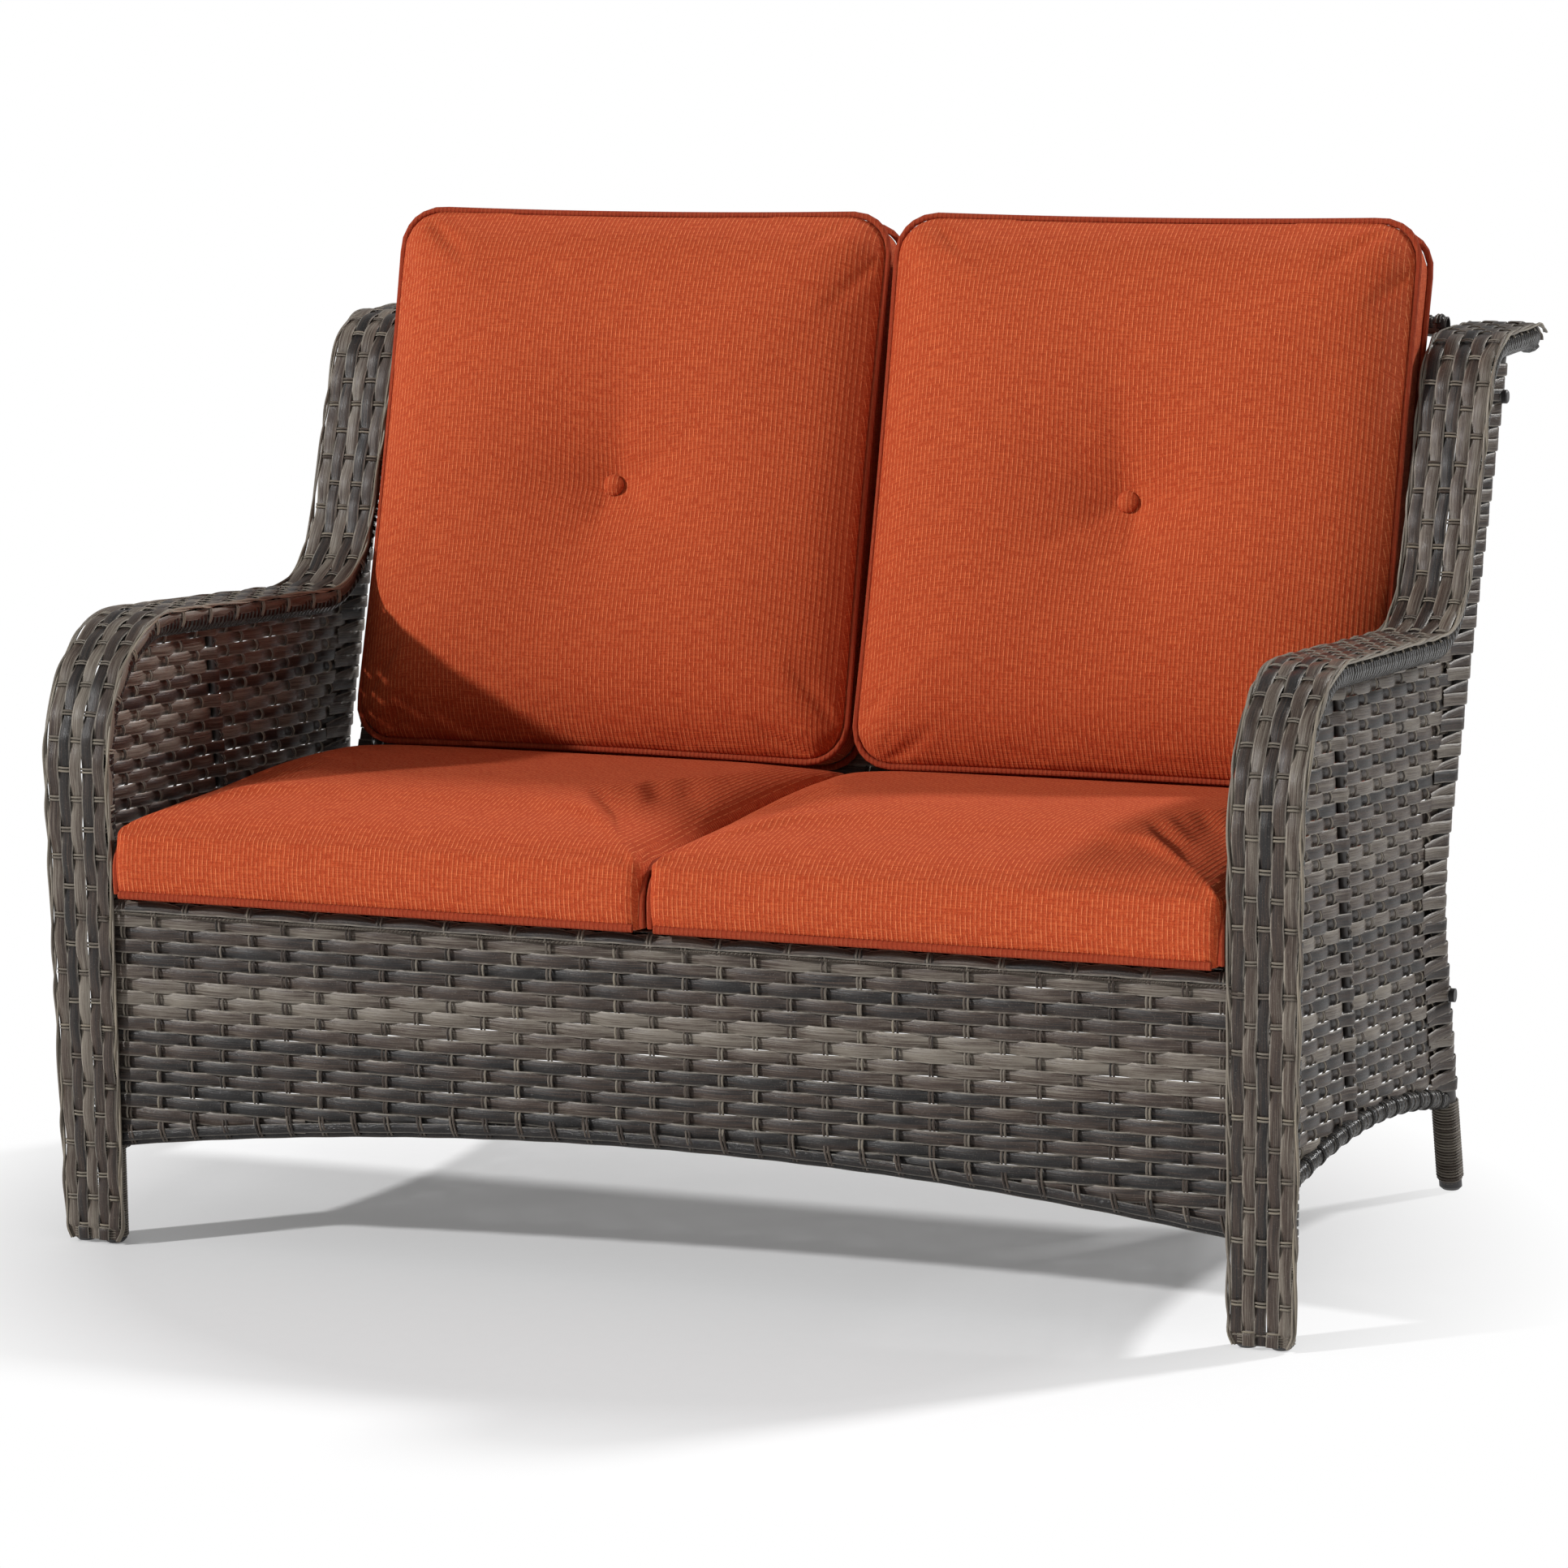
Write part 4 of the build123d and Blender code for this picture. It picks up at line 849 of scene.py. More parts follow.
def bind_rear_leg(flat, pitch):
    """Row ends carried round the rear leg, by turns outside and inside."""
    thickness = bpy.context.scene.loveseat_weave.strand_thickness / MM
    angle = np.linspace(-0.6, 3.7, 20)
    for row in range(PANEL_ROWS):
        z = PANEL_BASE + pitch * (row + 0.5) - FALL * (590.0 - TUBE_INSET)
        if not 112.0 < z < 858.0:
            continue
        y = float(rear_line(z))
        swing = 1.0 if row % 2 else -1.0
        radius = 13.4 + 0.5 * swing

        def ends(*spots):
            return [(panel_x(y - ahead) + aside * swing, y - ahead, z + rise) for ahead, aside, rise in spots]

        ring = line(panel_x(y) + swing * radius * np.cos(angle), y + radius * np.sin(angle), z - 0.4 * angle)
        lead, tail = ends((40.0, 2.0, 2.6), (22.0, 6.0, 1.4)), ends((24.0, -4.5, -4.0), (42.0, -1.5, -6.5))
        path = np.concatenate([lead, ring, tail])
        flat.lay(path, (0.0, 0.15, 1.0), 13.0, thickness, flat.tone(0.25, 0.45, 0.65))


def make_side_arch(side):
    """A dark flat strand wound along the arched rail, with loops of thin pairs."""
    dark = Strands(51 if side > 0 else 52)
    y = np.linspace(20.0, float(rear_line(ARCH_END)) - 6.0, 200)
    z = side_arch(y)
    length = np.concatenate([[0.0], np.cumsum(np.hypot(np.diff(y), np.diff(z)))])
    pitch = 11.0
    turns = np.arange(0.0, length[-1] / pitch, 1 / 14)
    wander = turns * pitch + 1.2 * np.sin(turns * 1.7) + 0.7 * np.sin(turns * 4.1)
    here_y, here_z = np.interp(wander, length, y), np.interp(wander, length, z)
    slope = np.arctan2(np.gradient(here_z), np.gradient(here_y))
    along = line(0.0, np.cos(slope), np.sin(slope))
    up = line(0.0, -np.sin(slope), np.cos(slope))
    centre = line(panel_x(here_y), here_y, here_z)
    dark.wind(centre, SIDEWAYS, up, along, 9.4, turns, width=11.6, thickness=1.2, tone=0.25)
    ring_turns = np.linspace(0.0, 1.0, 15)
    for at in np.arange(14.0, length[-1] - 8.0, 38.0):
        for shift in (-2.0, 1.8):
            i = min(int(np.searchsorted(wander, at + shift)), len(wander) - 1)
            frame_here = centre[i], SIDEWAYS, up[i], along[i]
            dark.wind(*frame_here, 10.6, ring_turns, width=2.4, thickness=1.8, tone=0.1, sides=5, start=-0.4)
    return dark


def make_leg_winding():
    """A fine strand wound round the foot of the rear leg."""
    fine = Strands(61)
    pitch = 3.3
    turns = np.arange(0.0, 95.0 / pitch, 1 / 16)
    s = 10.5 + turns * pitch
    y, z = LEG.at(s)
    along, out = LEG.along(s)
    radius = 13.3 - 2.6 * np.clip((16.0 - s) / 4.0, 0.0, 1.0)
    centre = line(panel_x(y), y, z)
    fine.wind(centre, SIDEWAYS, out, along, radius[:, None], turns, width=3.0, thickness=2.6, tone=0.55, sides=6)
    return fine


class LOVESEAT_OT_side_panels(bpy.types.Operator):
    """Weave the side panels and bind their arches and rear legs"""

    bl_idname = "loveseat.side_panels"
    bl_label = "Side Panels"

    def execute(self, context):
        for name, side in SIDES:
            flat, thin = make_side_panel(side)
            woven(flat, f"{name}_panel_rows", "flat", f"{name}_side_panel", side=side)
            woven(thin, f"{name}_panel_stakes", "thin", side=side)
            woven(make_side_arch(side), f"{name}_arch_binding", "dark", side=side)
            winding = make_leg_winding()
            woven(winding, f"{name}_leg_turns", "thin", f"{name}_rear_leg_winding", side=side, slot="wicker_cord")
        return {"FINISHED"}


SKIRT_HALF = 591.2
RAIL_HALF = 591.0
FIRST_STAKE, STAKES = -580.0, 33
FRONT_SWING = 2.1
BACK_RAIL = (798.5, 896.0)


def skirt_arc(x):
    """Height of the skirt's arched lower edge."""
    return arc_height(x, SKIRT_HALF, 108.0, 150.0)


def front_lift(points):
    """How far the strands of the skirt and the back swing each way, the same everywhere."""
    return FRONT_SWING


def front_pairs(step):
    """Sideways places of the two thin strands at each stake of the skirt or the back."""
    return [FIRST_STAKE + step * k + shift for k in range(STAKES) for shift in (-PAIR_GAP, PAIR_GAP)]


# How a thin strand goes under the skirt's lower edge, aside, behind and above it
SKIRT_HEM = (
    (0.0, 10.5, 18.0), (2.0, 7.0, 11.0), (4.0, 6.2, 4.0), (5.0, 9.5, -3.0), (5.5, 20.0, -2.5), (5.5, 31.0, 4.0),
    (5.5, 33.5, 12.0),
)
# How it goes over the skirt's top, in depth and height
SKIRT_TOP = ((11.0, 340.0), (7.6, 347.0), (6.6, 353.0), (9.5, 358.0), (20.0, 360.2))


def make_skirt():
    """Rows and stakes of the skirt, its scalloped top and its bound lower edge."""
    sizes = bpy.context.scene.loveseat_weave
    step, pitch = sizes.front_step / MM, sizes.front_pitch / MM
    flat, thin, dark = Strands(71), Strands(72), Strands(73)

    def place(u, v, out):
        return line(FIRST_STAKE + step * u, 11.5 - out, 338.9 - pitch * v)

    def kept(points):
        x, _, z = points.T
        return (np.abs(x) < 599.0) & (z > skirt_arc(x) + 5.0) & (z < 349.0)

    tones = (0.06, 0.24, 0.45, 0.72)
    weave(flat, thin, place, kept, (0, 18), (0, STAKES), front_lift, width=14.4, pair_gap=0.05, tones=tones)
    # Two rows of scallops, the rear one lower, each scallop two stakes long
    share = np.linspace(0.0, 1.0, 17)
    swell = np.sin(np.pi * share)
    for start, lower, behind in ((-1, 1.2, 2.2), (0, 0.0, 0.0)):
        for k in range(start, STAKES, 2):
            x = FIRST_STAKE + step * (k + 2 * share)
            path = line(x, 8.6 - 1.8 * swell + behind, 351.0 + 3.6 * swell - lower)
            keep = np.abs(x) < RAIL_HALF
            if keep.sum() < 4:
                continue
            flat.lay(path[keep], (0.0, 0.45, 0.9), (3.5 + 8.5 * swell**0.6)[keep], 1.3, flat.tone(0.25, 0.4))
    x = np.arange(-RAIL_HALF, RAIL_HALF, 0.8)
    for ply in (0, 1):
        angle = x / 4.6 * 2 * np.pi + ply * np.pi
        path = line(x, 8.3 + 0.7 * np.sin(angle), 345.6 + 0.9 * np.cos(angle))
        thin.lay(path, UPWARD, 1.8, 1.8, 0.45, 4)
    x = np.arange(-RAIL_HALF, RAIL_HALF + 0.1, 8.0)
    for lower, back, wide in ((4.5, 7.6, 10.0), (-2.0, 12.0, 8.0)):
        path = line(x, back + 0.8 * np.sin(x / 9.0), skirt_arc(x) + lower)
        dark.lay(path, UPWARD, wide, 1.3, 0.45)
    for x in front_pairs(step):
        path = (x, 0.0, skirt_arc(x)) + np.array(SKIRT_HEM)
        thin.lay(path, SIDEWAYS, 2.4, 1.8, thin.tone(0.2, 0.4), 5)
        thin.lay(line(x, *np.transpose(SKIRT_TOP)), SIDEWAYS, 2.4, 1.7, thin.tone(0.3, 0.6), 5)
    return flat, thin, dark


def make_rail_wraps():
    """Dark flat strand wound round the skirt's arched rail and top rail and the back's top rail."""
    dark = Strands(81)
    bars = (
        (23.3, lambda x: skirt_arc(x) + 9.1, 9.9, RAIL_HALF),
        (25.3, lambda x: 347.0, 11.6, RAIL_HALF),
        (BACK_RAIL[0], lambda x: BACK_RAIL[1], 10.9, 588.0),
    )
    pitch = 12.0
    for y, height, radius, half in bars:
        turns = np.arange(0.0, 2 * half / pitch, 1 / 12)
        x = -half + turns * pitch + 1.5 * np.sin(turns * 1.3)
        centre = line(x, y, height(x))
        dark.wind(centre, REARWARD, UPWARD, SIDEWAYS, radius, turns, width=10.6, thickness=1.3, tone=0.5)
    return dark


class LOVESEAT_OT_skirt(bpy.types.Operator):
    """Weave the skirt under the seat and wind the rails"""

    bl_idname = "loveseat.skirt"
    bl_label = "Skirt"

    def execute(self, context):
        flat, thin, dark = make_skirt()
        woven(flat, "skirt_rows", "flat", "skirt_weave")
        woven(thin, "skirt_stakes", "thin")
        woven(dark, "skirt_border", "dark")
        woven(make_rail_wraps(), "rail_bindings", "dark")
        return {"FINISHED"}


def make_back():
    """Rows and stakes of the back, along the bent line of the rear legs."""
    sizes = bpy.context.scene.loveseat_weave
    step, pitch = sizes.front_step / MM, sizes.front_pitch / MM
    flat, thin = Strands(91), Strands(92)
    start, end = (float(np.interp(z, LEG.zs, LEG.lengths)) for z in (246.0, 872.0))

    def place(u, v, out):
        return line(FIRST_STAKE + step * u, *LEG.at(start + pitch * (v + 0.5), out - 3.0))

    def kept(points):
        x, _, z = points.T
        return (np.abs(x) < 614.0) & (z > 245.0) & (z < 872.5)

    rows = int((end - start) / pitch)
    tones = (0.25, 0.4, 0.55, 0.7)
    weave(
        flat, thin, place, kept, (0, rows), (0, STAKES + 1), front_lift,
        width=14.2, pair_gap=0.05, tones=tones, steps=4, stake_steps=3,
    )
    x = np.arange(-588.0, 588.1, 9.0)
    flat.lay(line(x, 787.4 + 0.7 * np.cos(x / step * np.pi), 894.0), (0.0, 0.3, 1.0), 12.0, 1.3, 0.6)
    # Loops of thin strands over the top rail
    angle = np.radians(np.linspace(200.0, 520.0, 15))
    y = np.concatenate([[784.5], BACK_RAIL[0] + 12.4 * np.cos(angle)])
    z = np.concatenate([[868.0], BACK_RAIL[1] + 12.4 * np.sin(angle)])
    for x in front_pairs(step):
        thin.lay(line(x, y, z), SIDEWAYS, 2.4, 1.8, thin.tone(0.3, 0.6), 5)
    return flat, thin


def make_deck():
    """Woven straps of the seat deck."""
    flat = Strands(95)
    pitch, deck, swing = 27.0, 360.4, 0.75
    x = np.arange(-577.0, 577.1, pitch / 2)
    for i, y in enumerate(np.arange(24.0, 566.0, pitch)):
        z = deck + swing * np.cos(np.pi * (x / pitch + i))
        flat.lay(line(x, y, z), REARWARD, 24.0, 1.1, flat.tone(0.25, 0.4))
    y = np.arange(15.0, 571.0, pitch / 2)
    for x in np.arange(-567.0, 568.0, pitch):
        z = deck - swing * np.cos(np.pi * (x / pitch + (y - 24.0) / pitch))
        flat.lay(line(x, y, z), SIDEWAYS, 24.0, 1.1, flat.tone(0.3, 0.5))
    return flat


class LOVESEAT_OT_back_and_deck(bpy.types.Operator):
    """Weave the back and the seat deck"""

    bl_idname = "loveseat.back_and_deck"
    bl_label = "Back and Deck"

    def execute(self, context):
        flat, thin = make_back()
        woven(flat, "back_rows", "flat", "back_weave")
        woven(thin, "back_stakes", "thin")
        woven(make_deck(), "deck_straps", "flat", "seat_deck")
        return {"FINISHED"}


# ---------------------------------------------------------------- cushions

CUSHION_X = (3.4, 582.0)
CUSHION_MIDDLE = sum(CUSHION_X) / 2
CUSHION_HALF = (CUSHION_X[1] - CUSHION_X[0]) / 2
SEAT_BASE = 362.8
SEAT_ENDS = (-4.0, 576.0)
SEAT_GUSSET = 62.0
SEAT_CORNER = 16.0
# Rise above the base against the distance in from the front, the sides and the rear
SEAT_FRONT = (
    (0.0, 62.0), (1.0, 68.0), (4.0, 75.0), (10.0, 81.2), (20.0, 87.0), (36.0, 92.1), (60.0, 96.6), (95.0, 99.0)
)
SEAT_SIDE = ((0.0, 61.0), (1.3, 67.3), (10.0, 81.2), (22.0, 87.0), (40.0, 92.1), (70.0, 97.0), (110.0, 99.0))
SEAT_REAR = ((0.0, 61.0), (30.0, 67.3), (90.0, 74.5), (173.0, 81.2), (300.0, 92.1), (345.0, 96.0), (390.0, 99.0))
BACK_LEAN = math.radians(16.0)
BACK_SEAM = (556.0, 437.0)
BACK_TALL = 598.0
BACK_GUSSET = 54.0
BACK_CORNER = 46.0
BACK_DRAWN = 4.0
# Height of the buttons up the cushion, their radius in metres, and how far out the front and the rear one lie
BUTTON_RISE = 291.0
BUTTON_RADIUS = 0.0118
BUTTONS_OUT = (17.5, -BACK_GUSSET - 18.5)
# In the cut cube that a cushion is shaped from, past this height a point is on the top or, below, on the underside
FACE = 0.999


def table(pairs, at):
    return np.interp(at, *zip(*pairs))


def rounded(u, v, half_u, half_v, corner):
    """A square's points moved onto nested rectangles with rounded corners."""
    grow = np.maximum(np.maximum(np.abs(u), np.abs(v)), 1e-9)
    x, y = u * half_u, v * half_v
    reach_x, reach_y = grow * half_u - grow * corner, grow * half_v - grow * corner
    dx, dy = np.abs(x) - reach_x, np.abs(y) - reach_y
    bent = (dx > 0) & (dy > 0)
    stretch = np.where(bent, grow * corner / np.maximum(np.hypot(dx, dy), 1e-9), 1.0)
    x = np.where(bent, np.sign(x) * (reach_x + dx * stretch), x)
    y = np.where(bent, np.sign(y) * (reach_y + dy * stretch), y)
    return x, y


def drawn_in(x, y, u, v, pull_x, pull_y, power):
    """A rounded rectangle's points with its sides drawn in along their middles."""
    x = x - np.sign(x) * pull_x * np.abs(u) ** power * (1 - v * v)
    return x, y - np.sign(y) * pull_y * np.abs(v) ** power * (1 - u * u)


def soft_least(*heights, sharp=0.35):
    """The least of several heights, rounded where two meet."""
    return -np.log(sum(np.exp(-sharp * height) for height in heights)) / sharp


def block(name, cuts):
    """A finely cut cube from -1 to 1, to be shaped as a cushion."""
    bpy.ops.object.select_all(action="DESELECT")
    bpy.ops.mesh.primitive_cube_add(size=2.0)
    made = bpy.context.active_object
    made.name = name
    bpy.ops.object.mode_set(mode="EDIT")
    bpy.ops.mesh.select_all(action="SELECT")
    bpy.ops.mesh.subdivide(number_cuts=cuts)
    bpy.ops.object.mode_set(mode="OBJECT")
    return made


def vertices_of(made):
    co = np.empty(len(made.data.vertices) * 3)
    made.data.vertices.foreach_get("co", co)
    return co.reshape(-1, 3)


def move_vertices(made, points):
    """Moves an object's vertices to points in metres."""
    made.data.vertices.foreach_set("co", points.ravel())
    made.data.update()


def seat_form(cube):
    """The seat cushion: gusset sides, a front that rolls over and a crown that falls to the rear."""
    u, v, w = cube.T
    u, v = np.sin(u * np.pi / 2), np.sin(v * np.pi / 2)
    half_y = (SEAT_ENDS[1] - SEAT_ENDS[0]) / 2
    x, y = drawn_in(*rounded(u, v, CUSHION_HALF, half_y, SEAT_CORNER), u, v, 3.0, 1.5, 8)
    wall = (w + 1) / 2 * SEAT_GUSSET
    swell = np.sin(np.pi * (w + 1) / 2)
    y = y - 5.5 * swell * np.abs(v) ** 8 * (v < 0)
    front = table(SEAT_FRONT, y + half_y)
    side = table(SEAT_SIDE, CUSHION_HALF - np.abs(x))
    rear = table(SEAT_REAR, half_y - y)
    crown = soft_least(front, side, rear) + 1.6
    z = np.where(w > FACE, np.maximum(crown, SEAT_GUSSET), wall)
    return line(x + CUSHION_MIDDLE, y + sum(SEAT_ENDS) / 2, z + SEAT_BASE)


# Rise of the back cushion's crowns against the distance in from their welts
FRONT_CROWN = (
    (0.0, 0.0), (2.0, 6.0), (6.0, 12.0), (22.0, 25.0), (42.0, 34.0), (60.0, 40.0), (90.0, 47.0), (125.0, 53.0),
    (170.0, 58.0), (240.0, 63.0),
)
REAR_CROWN = ((0.0, 0.0), (8.0, 6.0), (23.0, 12.5), (60.0, 19.2), (130.0, 24.0))
# Heading and length of the creases that the button draws, and their depth and width
FOLDS = ((1.66, 130.0), (0.02, 110.0), (3.70, 120.0), (5.05, 90.0), (2.75, 80.0))
FOLD_DEEP, FOLD_WIDE = 5.5, 11.0
# How far the button draws the front and the rear in
FRONT_DRAW, REAR_DRAW = 45.0, 9.0


def back_place(x, rise, out):
    """A point of the back cushion: sideways, up along its seam and out to the front."""
    y = BACK_SEAM[0] + rise * math.sin(BACK_LEAN) - out * math.cos(BACK_LEAN)
    z = BACK_SEAM[1] + rise * math.cos(BACK_LEAN) + out * math.sin(BACK_LEAN)
    return line(x, y, z)


def back_form(cube):
    """The back cushion: a full front crown drawn in by a button, gussets all round and a lower rear crown."""
    u, v, w = cube.T
    u, v = np.sin(u * np.pi / 2), np.sin(v * np.pi / 2)
    half_x, half_y = CUSHION_HALF - 2.6, BACK_TALL / 2 - 2.6
    x, y = drawn_in(*rounded(u, v, half_x, half_y, BACK_CORNER), u, v, BACK_DRAWN, BACK_DRAWN, 6)
    depth = (w + 1) / 2
    x = x - np.sign(x) * 1.5 * (1 - depth) * np.abs(u) ** 4
    corner_x, corner_y = np.abs(x) - (half_x - BACK_CORNER), np.abs(y) - (half_y - BACK_CORNER)
    edge = soft_least(half_x - np.abs(x), half_y - np.abs(y), sharp=0.08)
    in_corner = (corner_x > 0) & (corner_y > 0)
    edge = np.where(in_corner, np.minimum(edge, BACK_CORNER - np.hypot(corner_x, corner_y)), edge)
    edge = np.maximum(edge, 0.0)
    spread_x, spread_y = x, y + BACK_TALL / 2 - BUTTON_RISE
    reach = np.hypot(spread_x, spread_y)
    around = np.arctan2(spread_y, spread_x)
    near = np.maximum(reach - 13.0, 0.0)
    draw = 0.45 * np.exp(-((near / 38.0) ** 1.2)) + 0.55 * np.exp(-((near / 115.0) ** 2))
    folds = 0.0 * reach
    for heading, long in FOLDS:
        aside = np.abs(np.angle(np.exp(1j * (around - heading)))) * reach
        fade = np.exp(-(((reach - long * 0.4) / (long * 0.45)) ** 2))
        folds = folds - FOLD_DEEP * np.exp(-((aside / FOLD_WIDE) ** 2)) * fade
    front = table(FRONT_CROWN, edge) - FRONT_DRAW * draw + folds
    rear = table(REAR_CROWN, edge) - REAR_DRAW * np.clip(1 - reach / 60.0, 0.0, 1.0) ** 2
    out = np.where(w > FACE, front, np.where(w < -FACE, -BACK_GUSSET - rear, (depth - 1) * BACK_GUSSET))
    return back_place(x + CUSHION_MIDDLE, y + BACK_TALL / 2, out)


def applied(made, name, kind, **settings):
    """Gives an object a modifier and applies it."""
    only(made)
    modifier = made.modifiers.new(name, kind)
    for key, value in settings.items():
        setattr(modifier, key, value)
    bpy.ops.object.modifier_apply(modifier=modifier.name)


# Even spacing of a cover's points before its simulation, in metres, and the simulation's length
COVER_MESH = 0.006
COVER_FRAMES = 20


def swelled(pad, held, cap):
    """Fills a cover with air as cloth, fixed where it is held, with no point moved past a cap."""
    applied(pad, "even", "REMESH", mode="VOXEL", voxel_size=COVER_MESH)
    rest = vertices_of(pad)
    fixed = pad.vertex_groups.new(name="held")
    fixed.add(np.flatnonzero(held(rest / MM - (0.0, FRONT, 0.0))).tolist(), 1.0, "REPLACE")
    cloth = pad.modifiers.new("cover", "CLOTH")
    settings = cloth.settings
    settings.quality = 6
    settings.tension_stiffness = settings.compression_stiffness = 12.0
    settings.shear_stiffness = 5.0
    settings.bending_stiffness = 2.0
    settings.use_pressure = True
    settings.uniform_pressure_force = 4.0
    settings.vertex_group_mass = "held"
    settings.effector_weights.gravity = 0.0
    scene = bpy.context.scene
    for moment in range(1, COVER_FRAMES + 1):
        scene.frame_set(moment)
    bpy.ops.object.modifier_apply(modifier=cloth.name)
    scene.frame_set(1)
    moved = vertices_of(pad) - rest
    reach = np.linalg.norm(moved, axis=1, keepdims=True)
    move_vertices(pad, rest + moved * np.minimum(1.0, cap * MM / np.maximum(reach, 1e-9)))
    pad.vertex_groups.clear()


# How near to a seam a cover's points are fixed
SEAM_REACH = 5.0


def inset(x, y, ends):
    """How far points lie in from the nearest side or end of a cushion."""
    return np.minimum.reduce((x - CUSHION_X[0], CUSHION_X[1] - x, y - ends[0], ends[1] - y))


def seat_held(points):
    """Where the seat cover is sewn or lies on the deck."""
    x, y, high = np.abs(points[:, 0]), points[:, 1], points[:, 2] - SEAT_BASE
    sewn = (np.abs(high - SEAT_GUSSET) < SEAM_REACH) & (inset(x, y, SEAT_ENDS) < 9.0)
    return (high < SEAM_REACH) | sewn


def back_held(points):
    """Where the back cover is sewn at its welts or drawn in by its button."""
    y, z = points[:, 1] - BACK_SEAM[0], points[:, 2] - BACK_SEAM[1]
    rise = y * math.sin(BACK_LEAN) + z * math.cos(BACK_LEAN)
    out = z * math.sin(BACK_LEAN) - y * math.cos(BACK_LEAN)
    x = np.abs(points[:, 0])
    seam = (np.abs(out) < SEAM_REACH) | (np.abs(out + BACK_GUSSET) < SEAM_REACH)
    drawn = np.hypot(x - CUSHION_MIDDLE, rise - BUTTON_RISE) < 15.0
    return (seam & (inset(x, rise, (0.0, BACK_TALL)) < 26.0)) | drawn


def finished_pad(name, side, cuts, form, held, cap):
    """Shapes, mirrors and smooths one pad."""
    pad = block(name, cuts)
    if side < 0:
        pad.data.flip_normals()
    move_vertices(pad, placed(form(vertices_of(pad)), side))
    swelled(pad, held, cap)
    applied(pad, "fuller", "SUBSURF", levels=1, render_levels=1)
    bpy.ops.object.shade_smooth()
    pad.data.materials.clear()
    pad.data.materials.append(finish_for("fabric"))
    return pad


def seat_welts():
    """Welts up the ends of the seat cushion and along its top, and a hem along the front's lower edge."""
    welts = Strands(101)
    turn = np.linspace(0.0, np.pi / 2, 12)
    y = np.concatenate([[9.0, 8.0], 44.0 - 36.0 * np.cos(turn), np.linspace(70.0, 560.0, 40)])
    z = np.concatenate([[4.0, 14.0], 26.0 + 36.0 * np.sin(turn), np.full(40, SEAT_GUSSET)])
    pull = 3.0 * np.sin(y / SEAT_ENDS[1] * np.pi)
    for x in (CUSHION_X[0] + 1.0 + pull, CUSHION_X[1] - 1.0 - pull):
        path = line(x + welts.wobble(y, 0.4, 140.0), y - 6.0, z + SEAT_BASE)
        welts.lay(path, SIDEWAYS, 7.0, 7.0, 0.5, 10)
    x = np.linspace(CUSHION_X[0] + 8.0, CUSHION_X[1] - 8.0, 60)
    path = line(x, welts.wobble(x, 0.4, 200.0) - 6.0, SEAT_BASE + 4.6)
    welts.lay(path, UPWARD, 8.4, 6.0, 0.5, 10)
    return welts


def back_welts():
    """Welts round the front and the rear seam of a back cushion."""
    welts = Strands(102)
    angle = np.linspace(0.0, 2 * np.pi, 200)
    u, v = np.cos(angle), np.sin(angle)
    grow = np.maximum(np.abs(u), np.abs(v))
    u, v = u / grow, v / grow
    for out, less in ((0.0, 0.5), (-BACK_GUSSET, 2.0)):
        ring = rounded(u, v, CUSHION_HALF - less, BACK_TALL / 2 - less * 0.2, BACK_CORNER - less)
        x, y = drawn_in(*ring, u, v, BACK_DRAWN, BACK_DRAWN, 6)
        path = back_place(x + CUSHION_MIDDLE, y + BACK_TALL / 2, out)
        welts.lay(path, (0.0, -math.cos(BACK_LEAN), math.sin(BACK_LEAN)), 7.2, 7.2, 0.5, 10)
    return welts


def back_button(name, side):
    """The covered buttons at the front and rear of a back cushion."""
    pieces = []
    turn = Matrix.Rotation(-BACK_LEAN, 4, "X")
    flat = Matrix.Diagonal((1.0, 0.52, 1.0, 1.0))
    for out in BUTTONS_OUT:
        bpy.ops.object.select_all(action="DESELECT")
        bpy.ops.mesh.primitive_uv_sphere_add(segments=28, ring_count=16, radius=BUTTON_RADIUS, location=(0, 0, 0))
        button = bpy.context.active_object
        centre = placed(back_place(CUSHION_MIDDLE, BUTTON_RISE, out), side)
        button.data.transform(Matrix.Translation(centre) @ turn @ flat)
        pieces.append(button)
    only(pieces[0])
    pieces[1].select_set(True)
    bpy.ops.object.join()
    button = bpy.context.active_object
    button.name = name
    bpy.ops.object.shade_smooth()
    button.data.materials.append(finish_for("fabric"))
    return button


class LOVESEAT_OT_seat_cushions(bpy.types.Operator):
    """Upholster the two seat cushions"""

    bl_idname = "loveseat.seat_cushions"
    bl_label = "Seat Cushions"

    def execute(self, context):
        for name, side in SIDES:
            body = f"{name}_seat_cushion"
            pad = finished_pad(f"{name}_seat_pad", side, 38, seat_form, seat_held, 7.0)
            settle(pad, body, "cushion_fabric", f"{body}_cover", f"{body}_foam")
            welts = seat_welts()
            woven(welts, f"{name}_seat_welts", "welt", f"{body}_welts", side=side, body=body, slot="cushion_fabric")
        return {"FINISHED"}


class LOVESEAT_OT_back_cushions(bpy.types.Operator):
    """Upholster the two back cushions"""

    bl_idname = "loveseat.back_cushions"
    bl_label = "Back Cushions"

    def execute(self, context):
        for name, side in SIDES:
            body = f"{name}_back_cushion"
            pad = finished_pad(f"{name}_back_pad", side, 48, back_form, back_held, 12.0)
            settle(pad, body, "cushion_fabric", f"{body}_cover", f"{body}_foam")
            welts = back_welts()
            woven(welts, f"{name}_back_welts", "welt", f"{body}_welts", side=side, body=body, slot="cushion_fabric")
            button = back_button(f"{name}_tufting_buttons", side)
            settle(button, body, "cushion_fabric", f"{body}_buttons")
            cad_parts[f"{body}_tie"].data.materials[0] = finish_for("thread")
        return {"FINISHED"}


# ---------------------------------------------------------------- frame and stage


